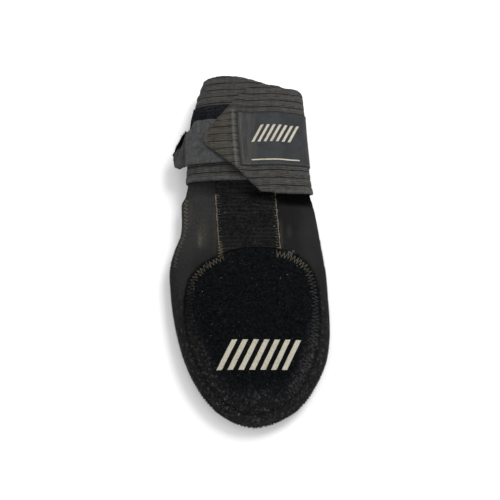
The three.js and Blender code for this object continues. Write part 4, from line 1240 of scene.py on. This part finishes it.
def wrist_strap():
    hidden, shown = np.linspace(STRAP_START, 440, 250), np.linspace(440, FLAP_LAST, 90)
    stations = np.unique(np.concatenate([hidden, shown]))
    low, high = (v[:, None] for v in flap_edges(stations))
    d = stations[:, None]
    out_share = np.linspace(1, 0, STRAP_OUTER)[None]
    in_share = np.linspace(0, 1, STRAP_INNER)[None]
    edge = low + (high - low) * out_share
    tip = tip_share(d) * np.ones_like(edge)
    nose = strap_point(d, edge, STRAP_THICKNESS)[..., 0] - FLAP_TIP_X
    nose = (1 - ease(nose, *NOSE_BAND)) * (d > NEXT_TURN)
    height = rib_height(edge, tip) * (1 - nose) + (STRAP_THICKNESS - 0.35) * nose
    rounding = np.minimum(edge - low, high - edge)
    height = height - 0.7 * (1 - ease(rounding, 0, 1.0))
    outer = strap_point(d, edge, height)
    ripple = 0.25 * np.sin(2 * np.pi * d * 0.8 / 7.0)
    outer[..., 1] += ripple * (1 - ease(np.minimum(edge, high - edge), 0, 5))
    inner_edge = low + (high - low) * in_share
    inner = strap_point(d, inner_edge, 0.05)
    middle_high = strap_point(d, low, STRAP_THICKNESS * 0.35) - [0, 0.35, 0]
    middle_low = strap_point(d, high, STRAP_THICKNESS * 0.35) + [0, 0.35, 0]
    rings = np.concatenate([outer, middle_high, inner, middle_low], axis=1)
    points, faces = skin(rings)
    along = np.radians(d) * WEAVE_RADIUS
    weave = np.stack(np.broadcast_arrays(along, edge, tip), axis=-1)
    inner_weave = np.stack(np.broadcast_arrays(along, inner_edge, 0 * inner_edge), axis=-1)
    side = np.concatenate([along, low, 0 * low], axis=-1)[:, None]
    far = np.concatenate([along, high, 0 * high], axis=-1)[:, None]
    attribute = np.concatenate([weave, side, inner_weave, far], axis=1).reshape(-1, 3)
    attribute = np.concatenate([attribute, attribute[:1], attribute[-1:]])
    # The fold's crest, which gets a painted highlight.
    ridge_highlight = ridge_share(d, edge) * (d > NEXT_TURN)
    flat = np.zeros((len(d), rings.shape[1] - STRAP_OUTER))
    marks = [np.concatenate([mark, flat], axis=1).reshape(-1) for mark in (ridge_highlight, nose)]
    ridge = marked(*(np.concatenate([mark, [0, 0]]) for mark in marks))
    attributes = {"weave": attribute, "ridge": ridge}
    faces = facing_out(points, faces)
    piece("elastic_strap", points, faces, ELASTIC, "ribbed_elastic", "wrist_strap", attributes)


# What lies on the strap
def strap_sheet(names, span, across, height, thickness, material, counts, rough=0.0):
    """A sheet on the strap with rounded edges. names are those of the piece, a slot name that is not used,
    and its node.

    The second end of span may be a function of the distance from the strap's lower edge.
    """
    edge_from, width = across
    edge = np.linspace(edge_from, edge_from + width, counts[1])[None]
    end = span[1](edge) if callable(span[1]) else span[1] + 0 * edge
    d = span[0] + (end - span[0]) * np.linspace(0, 1, counts[0])[:, None]
    arc = np.abs(d - span[0]) * 0.8, np.abs(end - d) * 0.8
    inside = np.minimum(np.minimum(arc[0], arc[1]), np.minimum(edge - edge_from, edge_from + width - edge))
    rounding = rounded(inside, 0.9)
    base = strap_point(d, edge, height)
    bumps = rough * (noise(base, 1.0, 61) + 0.7 * noise(base, 2.6, 62)) * rounding
    high = strap_point(d, edge, height + thickness * (0.3 + 0.7 * rounding) + bumps)
    points, faces = slab(strap_point(d, edge, height - 0.15), high)
    name, slot_name, node = names
    marks = {"rim": marked(np.stack([inside, inside]))}
    piece(name, points, facing_out(points, faces), material, slot_name, node, marks)


PATCH_TALL = PATCH_WIDTH + 3.0  # the stretched patch is a little taller than its solid


def loop_patch():
    names = "tape_patch", "loop_tape", "loop_patch"
    span, across = (PATCH_FROM, PATCH_TO), (PATCH_EDGE, PATCH_TALL)
    strap_sheet(names, span, across, ON_STRAP, PATCH_THICKNESS, LOOP, (80, 60), 0.12)


def patch_spots(rng, count):
    d = rng.uniform(PATCH_FROM + 8, PATCH_TO - 1, count)
    edge = rng.uniform(PATCH_EDGE + 0.5, PATCH_EDGE + PATCH_TALL - 0.5, count)
    a = strap_point(d, edge, ON_STRAP + PATCH_THICKNESS)
    b = strap_point(d, edge, ON_STRAP + PATCH_THICKNESS + 1)
    return a, unit(b - a)


def label_patch():
    names = "rubber_label", "label_rubber", "label_patch"
    span, across = (LABEL_FROM, label_end), (LABEL_EDGE, LABEL_TALL)
    strap_sheet(names, span, across, ON_ELASTIC, LABEL_THICKNESS, LABEL_RUBBER, (120, 54))


def label_stitches():
    top = ON_ELASTIC + LABEL_THICKNESS
    edge = np.arange(LABEL_EDGE + 1.5, LABEL_EDGE + LABEL_TALL - 1, 2.0)
    d = label_end(edge) - 2.6
    starts, ends = strap_point(d, edge, top + 0.05), strap_point(d, edge + 1.4, top + 0.05)
    up = strap_point(d, edge, top + 1) - strap_point(d, edge, top)
    stitches("label_stitch_end", starts, ends, up, 0.16, 0.15, PALE_THREAD, "print")
    d = np.arange(LABEL_FROM + 4, LABEL_END - 3.5, 2.9)
    for name, at, thread_used in (
        ("label_stitch_low", LABEL_EDGE + 1.6, PALE_THREAD),
        ("label_stitch_high", LABEL_EDGE + LABEL_TALL - 1.6, DARK_THREAD),
    ):
        here = np.full(len(d), at)
        starts, ends = strap_point(d, here, top + 0.05), strap_point(d + 2.1, here, top + 0.05)
        up = strap_point(d, here, top + 1) - strap_point(d, here, top)
        stitches(name, starts, ends, up, 0.15, 0.15, thread_used, "label_rubber")


FLAP_SEAM = {"inset": 2.6, "from": 452.0, "step": 1.55, "box": 476.0}


def flap_stitches():
    """Fine stitches inside the flap's slanting edges, and across it where the tab is sewn underneath."""
    top = STRAP_THICKNESS + 0.08
    lines = []
    d = np.arange(FLAP_SEAM["from"], FLAP_LAST - 3, FLAP_SEAM["step"])
    low, high = flap_edges(d)
    lines.append((d, low + FLAP_SEAM["inset"]))
    lines.append((d, high - FLAP_SEAM["inset"]))
    low, high = flap_edges(np.array([FLAP_SEAM["box"]]))
    edge = np.arange(low[0] + 4, high[0] - 4, 1.9)
    lines.append((FLAP_SEAM["box"] + 0.03 * (edge - edge.mean()), edge))
    starts, ends, up = [], [], []
    for d, edge in lines:
        spots = strap_point(d, edge, top)
        starts.append(spots[:-1] * 0.82 + spots[1:] * 0.18)
        ends.append(spots[:-1] * 0.18 + spots[1:] * 0.82)
        up.append((strap_point(d, edge, top + 1) - spots)[:-1])
    joined = map(np.concatenate, (starts, ends, up))
    stitches("flap_stitch", *joined, 0.17, 0.2, FLAP_THREAD, "ribbed_elastic")


# The hook tab
tab = table(TAB_COLUMNS, TAB_ROWS)
HOOK_HEIGHT = ON_STRAP + PATCH_THICKNESS + CLEARANCE
TAB_HEIGHT = HOOK_HEIGHT + HOOK_THICKNESS + CLEARANCE


def tab_points(travel, edge, height):
    """The tab follows the cuff to TAB_LEAVES and then runs straight on. travel and edge are a grid."""
    degrees = np.arange(TAB_START, TAB_LEAVES + 0.5, 1.0)
    found = np.empty((*travel.shape, 3))
    for j in range(travel.shape[1]):
        line = strap_point(degrees, edge[:, j].mean(), height)
        stride = np.hypot(np.diff(line[:, 0]), np.diff(line[:, 2]))
        done = np.concatenate([[0], np.cumsum(stride)])
        heading = unit(line[-1, [0, 2]] - line[-4, [0, 2]])
        beyond = np.maximum(travel[:, j] - done[-1], 0)
        found[:, j, 0] = np.interp(travel[:, j], done, line[:, 0]) + beyond * heading[0]
        found[:, j, 2] = np.interp(travel[:, j], done, line[:, 2]) + beyond * heading[1]
    found[..., 1] = strap_lower_y(np.interp(travel, [0, 45], [TAB_START, TAB_LEAVES])) + edge
    return found


def tab_grid(height, overhang, counts, upper):
    length = TAB_LENGTH + overhang
    travel = np.linspace(0, length, counts[0])[:, None] * np.ones((1, counts[1]))
    inset = HOOK_INSET if upper == "hooks" else 0.0
    low = smooth(travel / length, tab["along"], tab["low"]) * TAB_WIDTH + inset
    high = smooth(travel / length, tab["along"], tab[upper]) * TAB_WIDTH
    share = np.linspace(0, 1, counts[1])[None]
    edge = TAB_EDGE + low + (high - low) * share
    lines = TAB_EDGE + np.linspace(0, TAB_WIDTH, 24)[None] * np.ones((counts[0], 1))
    full_travel = np.linspace(0, length, counts[0])[:, None] * np.ones((1, 24))
    coarse = tab_points(full_travel, lines, height)
    made = np.empty((*edge.shape, 3))
    for i in range(counts[0]):
        for k in (0, 1, 2):
            made[i, :, k] = np.interp(edge[i], lines[i], coarse[i, :, k])
    return made, travel, edge


# Creases of the tab's loose end: where each crosses the tab, its slant, its width and its height
CREASE_ROWS = [
    (14.0, -0.05, 1.6, -0.35),
    (22.0, 0.06, 1.8, 0.35),
    (29.0, 0.02, 1.5, -0.45),
    (36.0, 0.1, 2.2, 0.5),
    (41.5, 0.0, 2.6, 0.9),
    (46.0, -0.04, 2.3, -1.15),
    (49.5, 0.3, 1.2, 0.7),
    (52.5, 0.45, 1.1, -0.6),
]


PRESSED_OUTSIDE = 1.3  # a line is pressed into the tab this far outside the flap's tip, and painted shadow darkens it


def flap_distance(points):
    """How far plan points lie from the flap's blunt nose and its two slanting edges."""
    corners = [
        (FLAP_TIP_X + FLAP_TAPER_LOWER, FLAP_LOWER_Y),
        (FLAP_TIP_X + FLAP_BLUNT / 2, FLAP_MIDDLE_Y - FLAP_BLUNT * 0.8),
        (FLAP_TIP_X, FLAP_MIDDLE_Y),
        (FLAP_TIP_X + FLAP_BLUNT / 2, FLAP_MIDDLE_Y + FLAP_BLUNT * 0.8),
        (FLAP_TIP_X + FLAP_TAPER_UPPER, FLAP_LOWER_Y + STRAP_WIDTH - FLAP_BLUNT / 2),
    ]
    best = np.full(points.shape[:-1], np.inf)
    for a, b in zip(np.array(corners[:-1]), np.array(corners[1:])):
        way = points[..., :2] - a
        t = np.clip(way @ (b - a) / ((b - a) @ (b - a)), 0, 1)
        best = np.minimum(best, np.linalg.norm(way - t[..., None] * (b - a), axis=-1))
    return best


def pressed_line(points, width):
    return np.exp(-(((flap_distance(points) - PRESSED_OUTSIDE) / width) ** 2))


def crease(travel, edge, at, slant, width, height):
    off = travel - at + slant * (edge - TAB_EDGE - TAB_WIDTH / 3)
    return height * np.exp(-((off / width) ** 2))


def crumple(points, travel, edge):
    """The loose end is creased, and its corner turns up."""
    loose = ease(travel, 26, 46)
    lift = np.zeros_like(travel)
    for row in CREASE_ROWS:
        lift += crease(travel, edge, *row)
    lift += loose * (0.9 * noise(points, 6.5, 71) + 0.35 * noise(points, 2.6, 72))
    lift += 0.25 * noise(points, 5, 73) + 0.12 * noise(points, 1.8, 77)
    lift -= 0.3 * pressed_line(points, 0.9)
    corner = ease(edge - TAB_EDGE, 16, 32) * ease(travel, 36, 47)
    lift += 2.4 * corner
    moved = points.copy()
    moved[..., 2] += np.clip(lift * (0.35 + 0.65 * ease(travel, 18, 30)), -1.4, 3.6) * ease(travel, 3, 12)
    moved[..., 0] -= 0.5 * loose * noise(points, 5, 74)
    moved[..., 1] += loose * (0.8 * noise(points, 7, 75) + 0.18 * noise(points, 2.6, 76))
    return moved


def fold_shade(points, travel, edge):
    """Painted shade of the tab: how far each place has turned down at its loose end, and how deep it lies in
    a fold.
    """
    turned_down_shade = ease(travel + 0.12 * (TAB_WIDTH / 3 - edge + TAB_EDGE) + 1.5 * noise(points, 6, 78), 41, 49)
    wavering = travel + 0.5 * noise(points, 4, 79)
    # Painted shadow of the flap's edge, along the pressed line.
    crease_shade = 0.7 * pressed_line(points, 0.8)
    for row in CREASE_ROWS:
        if row[-1] < 0:
            crease_shade -= crease(wavering, edge, *row)
    return turned_down_shade, np.clip(crease_shade / 1.5, 0, 1)


def tab_layer(names, height, thickness, overhang, material, counts, upper):
    """One layer of the tab. names are those of the piece, a slot name that is not used, and its node."""
    base, travel, edge = tab_grid(height, overhang, counts, upper)
    moved = crumple(base, travel, edge)
    facing = normals_of(moved)
    facing *= np.sign(facing[..., 2:3] + 1e-9)
    inside = np.minimum(np.minimum(edge - edge[:, :1], edge[:, -1:] - edge), (travel[-1:] - travel) + 0.05)
    high = moved + facing * (thickness * (0.35 + 0.65 * rounded(inside, 0.7)))[..., None]
    points, faces = slab(moved, high)
    name, slot_name, node = names
    # The loose attribute carries the painted shade of the turned-down end and of the folds.
    marks = {"loose": marked(*(np.stack([mark, mark]) for mark in fold_shade(base, travel, edge)))}
    piece(name, points, facing_out(points, faces), material, slot_name, node, marks)
    return moved


BRISTLE_COUNT = 4600


def hook_tab():
    names = "grey_tab", "tab_rubber", "hook_tab"
    tab_layer(names, TAB_HEIGHT, TAB_THICKNESS, 0.0, TAB_RUBBER, (130, 92), "high")
    names = "hook_backing", "hook_tape", "hook_pad"
    under = tab_layer(names, HOOK_HEIGHT, HOOK_THICKNESS, HOOK_OVERHANG, BLACK_FIBRE, (80, 50), "hooks")
    rng = np.random.default_rng(81)
    count = BRISTLE_COUNT
    row = rng.integers(int(0.6 * len(under)), len(under), count)
    near_edge = rng.choice([0, 1], count, p=[0.06, 0.94])
    column = np.where(near_edge, under.shape[1] - 1 - rng.integers(0, 17, count), rng.integers(0, 3, count))
    roots = under[row, column] + rng.normal(0, 0.25, (count, 3)) + [0, 0, HOOK_THICKNESS * 0.9]
    out = np.where(near_edge[:, None] == 1, [-0.35, 0.45, 0.9], [-0.3, -0.9, 0.0])
    ways = unit(out + rng.normal(0, 0.4, (count, 3))) * rng.uniform(0.5, 1.4, (count, 1))
    bends = unit(rng.normal(0, 1, (count, 3)) + [0, 0, 0.3]) * 0.55
    fibres("hook_bristles", roots, ways, bends, 0.17, BLACK_FIBRE, "hook_tape")


# The generic print
def bar_grid(x, y, width, height, seed, counts=(34, 10)):
    """Plan points of a leaning bar with slightly ragged edges."""
    rise = np.linspace(-0.5, 0.5, counts[0])[:, None]
    across = np.linspace(-0.5, 0.5, counts[1])[None]
    ragged = noise(np.stack(np.broadcast_arrays(rise * height, across * 40, 0 * rise), axis=-1), 1.6, seed)
    px = x + PRINT_LEAN * height * rise + across * (width + 0.25 * ragged)
    ends = noise(np.stack(np.broadcast_arrays(0 * rise, across * width, rise * 50), axis=-1), 1.2, seed + 1)
    py = y + rise * (height + 0.3 * ends)
    inside = np.minimum((0.5 - np.abs(across)) * width, (0.5 - np.abs(rise)) * height)
    return px, py, np.sqrt(np.clip(inside / 0.5, 0, 1))


def printed(name, low, high, node):
    points, faces = slab(low, high)
    piece(name, points, facing_out(points, faces), INK, "print", node)


def bars(bar, y, seed):
    """The number and the plan points of each bar in a row."""
    for n in range(BAR_COUNT):
        x = bar["x"] + (n - (BAR_COUNT - 1) / 2) * bar["pitch"]
        yield n, *bar_grid(x, y, bar["width"], bar["height"], seed + n)


def panel_bars():
    for n, px, py, full in bars(PANEL_BAR, PANEL_BAR["y"], 90):
        texture = 0.1 * noise(np.stack([px, py, 0 * px], axis=-1), 1.1, 120 + n)
        low, high = on_panel(px, py, -0.2), on_panel(px, py, 0.2 + 0.25 * full + texture * full)
        printed(f"panel_print_{n + 1}", low, high, f"panel_bar_{n + 1}")


def on_label(px, edge, lift):
    """Points on the label, over an x and at a distance from the strap's lower edge."""
    degrees = np.full(np.shape(px), 425.0)
    height = ON_ELASTIC + LABEL_THICKNESS + lift
    for _ in range(25):
        here = strap_point(degrees, edge, height)
        there = strap_point(degrees + 0.5, edge, height)
        slope = np.minimum((there[..., 0] - here[..., 0]) / 0.5, -0.05)
        degrees = np.clip(degrees + 0.7 * (px - here[..., 0]) / slope, 368, 470)
    return strap_point(degrees, edge, height)


def label_bars():
    for n, px, edge, full in bars(LABEL_BAR, LABEL_BAR["edge"], 140):
        low, high = on_label(px, edge, -0.15), on_label(px, edge, 0.12 + 0.2 * full)
        printed(f"label_print_{n + 1}", low, high, f"label_bar_{n + 1}")
    rise = np.linspace(0, LABEL_LINE["width"], 5)[:, None]
    run = np.linspace(0, LABEL_LINE["length"], 80)[None]
    px = LABEL_BAR["x"] - LABEL_LINE["length"] / 2 + run + 0 * rise
    edge = LABEL_LINE["edge"] + rise + 0 * run
    printed("label_print_line", on_label(px, edge, -0.15), on_label(px, edge, 0.25), "label_line")


# Seams and threads of the pocket
def rim_seam():
    """Whip stitches over the rolled edge, from the left side round the fingertips to the right side."""
    for name, degrees, order in (("rim_stitch_left", 176.0, 1), ("rim_stitch_right", 4.0, -1)):
        y = np.concatenate([np.linspace(0.5, 12, 20), np.arange(13.0, 126, 1.9)])
        rng = np.random.default_rng(151 + order)
        y = y + rng.uniform(-0.12, 0.12, len(y))
        cut = section(pocket_rows, y)
        swing = 9.0 * np.clip(y / 30, 0.35, 1)
        a = section_point(cut, y, degrees - order * swing, 0.35, 0)
        later = section(pocket_rows, y + 0.75)
        b = section_point(later, y + 0.75, degrees + order * swing, 0.35, 0)
        out = np.stack([np.full(len(y), -float(order)), np.full(len(y), -0.2), np.zeros(len(y))], axis=1)
        stitches(name, a, b, out, 0.48, 1.45, DARK_THREAD, "neoprene")


SIDE_SEAM = {"from": 124.0, "to": 184.0, "step": 1.7, "outer": 2.2, "inner": 5.8}
TACK = {"x": -23.6, "from": 129.0, "to": 144.0, "step": 1.25, "half": 2.3}


def zigzag_line(name, x, y, lift, radius, material, slot_name):
    folded = neck_folds(np.stack([x, y, 0 * x], axis=-1))
    spots = on_pocket(x, y, lift + folded)
    stitches(name, spots[:-1], spots[1:], upward(len(y) - 1), radius, 0.3, material, slot_name)


def side_zigzag():
    """A zigzag down the concave left edge of the neck, and a dense one at the strip's lower left end."""
    y = np.arange(SIDE_SEAM["from"], SIDE_SEAM["to"], SIDE_SEAM["step"])
    inset = np.where(np.arange(len(y)) % 2, SIDE_SEAM["outer"], SIDE_SEAM["inner"])
    zigzag_line("side_zigzag", section(pocket_rows, y)["left"] + inset, y, 0.3, 0.27, SIDE_THREAD, "neoprene")
    y = np.arange(TACK["from"], TACK["to"], TACK["step"])
    x = TACK["x"] + np.where(np.arange(len(y)) % 2, -TACK["half"], TACK["half"])
    lift = CLEARANCE + STRIP_THICKNESS + 0.1
    zigzag_line("strip_tack", x, y, lift, 0.24, ZIGZAG_THREAD, "loop_tape")


# Where lint gathers: the middle in plan, the spread and the number of bits
LINT_CLUSTERS = [
    (-43.0, 102.0, 2.2, 9),
    (-22.0, 17.0, 2.6, 8),
    (-11.0, 4.5 + PANEL_TIP_MARGIN, 3.0, 9),
    (33.5, 134.0, 1.1, 40),
]


def lint():
    """Pale specks and short hairs caught on the brushed panel, the strip and the neck."""
    rng = np.random.default_rng(161)
    roots, _ = panel_spots(rng, 46)
    strip_roots, _ = strip_spots(rng, 16)
    clusters = []
    for x, y, spread, count in LINT_CLUSTERS:
        spots = rng.normal(0, spread, (count, 2)) + [x, y]
        clusters.append(on_panel(spots[:, 0], spots[:, 1]))
    roots = np.concatenate([roots, strip_roots, *clusters]) + [0, 0, 0.35]
    heading = rng.uniform(0, 2 * np.pi, len(roots))
    reach = rng.uniform(0.4, 1.8, (len(roots), 1))
    reach[-LINT_CLUSTERS[-1][3] :] *= 1.5  # the last cluster is a frayed thread's end
    ways = np.stack([np.cos(heading), np.sin(heading), rng.uniform(0, 0.3, len(roots))], axis=1) * reach
    bends = rng.normal(0, 0.35, (len(roots), 3)) * reach
    fibres("lint", roots, ways, bends, rng.uniform(0.08, 0.22, len(roots)), LINT, "print")


# Camera, light and floor
LOOK_AT = np.array([0.0, 140.9, 15.0])  # in the mitt's own millimetres
ELEVATION, DISTANCE, FOCAL_PIXELS, IMAGE_PIXELS = 70.0, 600.0, 732.0, 500.0


def camera():
    made = bpy.data.objects.new("camera", bpy.data.cameras.new("camera"))
    bpy.context.scene.collection.objects.link(made)
    bpy.context.scene.camera = made
    made.data.sensor_width = 36.0
    made.data.lens = FOCAL_PIXELS / IMAGE_PIXELS * made.data.sensor_width
    up = math.radians(ELEVATION)
    back = Vector((0, -math.cos(up), math.sin(up)))
    target = Vector(LOOK_AT * MM + SHIFT)
    made.location = target + back * DISTANCE * MM
    made.rotation_mode = "QUATERNION"
    made.rotation_quaternion = (-back).to_track_quat("-Z", "Y")
    made.data.clip_start, made.data.clip_end = 0.01, 50


def area_light(name, place, size, power, target=(0, 0, 0.01)):
    data = bpy.data.lights.new(name, "AREA")
    data.shape, data.size, data.energy = "DISK", size, power
    made = bpy.data.objects.new(name, data)
    made.location = place
    made.rotation_mode = "QUATERNION"
    made.rotation_quaternion = (Vector(target) - Vector(place)).to_track_quat("-Z", "Y")
    bpy.context.scene.collection.objects.link(made)


def studio():
    scene = bpy.context.scene
    scene.view_settings.view_transform = "Standard"
    world = bpy.data.worlds.new("studio")
    scene.world = world
    world.use_nodes = True
    world.node_tree.nodes["Background"].inputs["Color"].default_value = (1, 1, 1, 1)
    world.node_tree.nodes["Background"].inputs["Strength"].default_value = 1.0
    area_light("key", (0.5, 0.55, 0.95), 0.55, 9.5)
    bpy.ops.mesh.primitive_plane_add(size=12, location=(0, 0, -0.0002))
    floor = bpy.context.object
    floor.name = "floor"
    f = Finish("pale_floor", roughness=0.9, specular=0.1)
    f.colour(f.mix(f.span(f.noise(60, 2), 0.3, 0.7), (0.86, 0.86, 0.86), (0.88, 0.88, 0.88)))
    floor.data.materials.append(f.material)
    floor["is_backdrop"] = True


camera()
studio()
pocket()
striking_panel()
panel_zigzag()
fuzz_on("panel_fuzz", panel_spots, 9500, 171, 1.5, 0.09, BLACK_FIBRE, "brushed_panel")
fuzz_on("panel_rim_fuzz", panel_rim_spots, 6000, 174, 1.5, 0.12, RIM_FIBRE, "brushed_panel")
fuzz_on("pocket_rim_fuzz", pocket_rim_spots, 7500, 175, 1.5, 0.14, RIM_FIBRE, "neoprene")
loop_strip()
fuzz_on("strip_fuzz", strip_spots, 5500, 172, 1.1, 0.14, TAPE_FIBRE, "loop_tape")
strip_stitches()
wrist_strap()
loop_patch()
fuzz_on("patch_fuzz", patch_spots, 2600, 173, 1.1, 0.12, TAPE_FIBRE, "loop_tape")
label_patch()
label_stitches()
flap_stitches()
hook_tab()
panel_bars()
label_bars()
rim_seam()
side_zigzag()
lint()

boxes = {"cad": cad_box, "visual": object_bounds()}
{name: [list(corner) for corner in box] for name, box in boxes.items()}
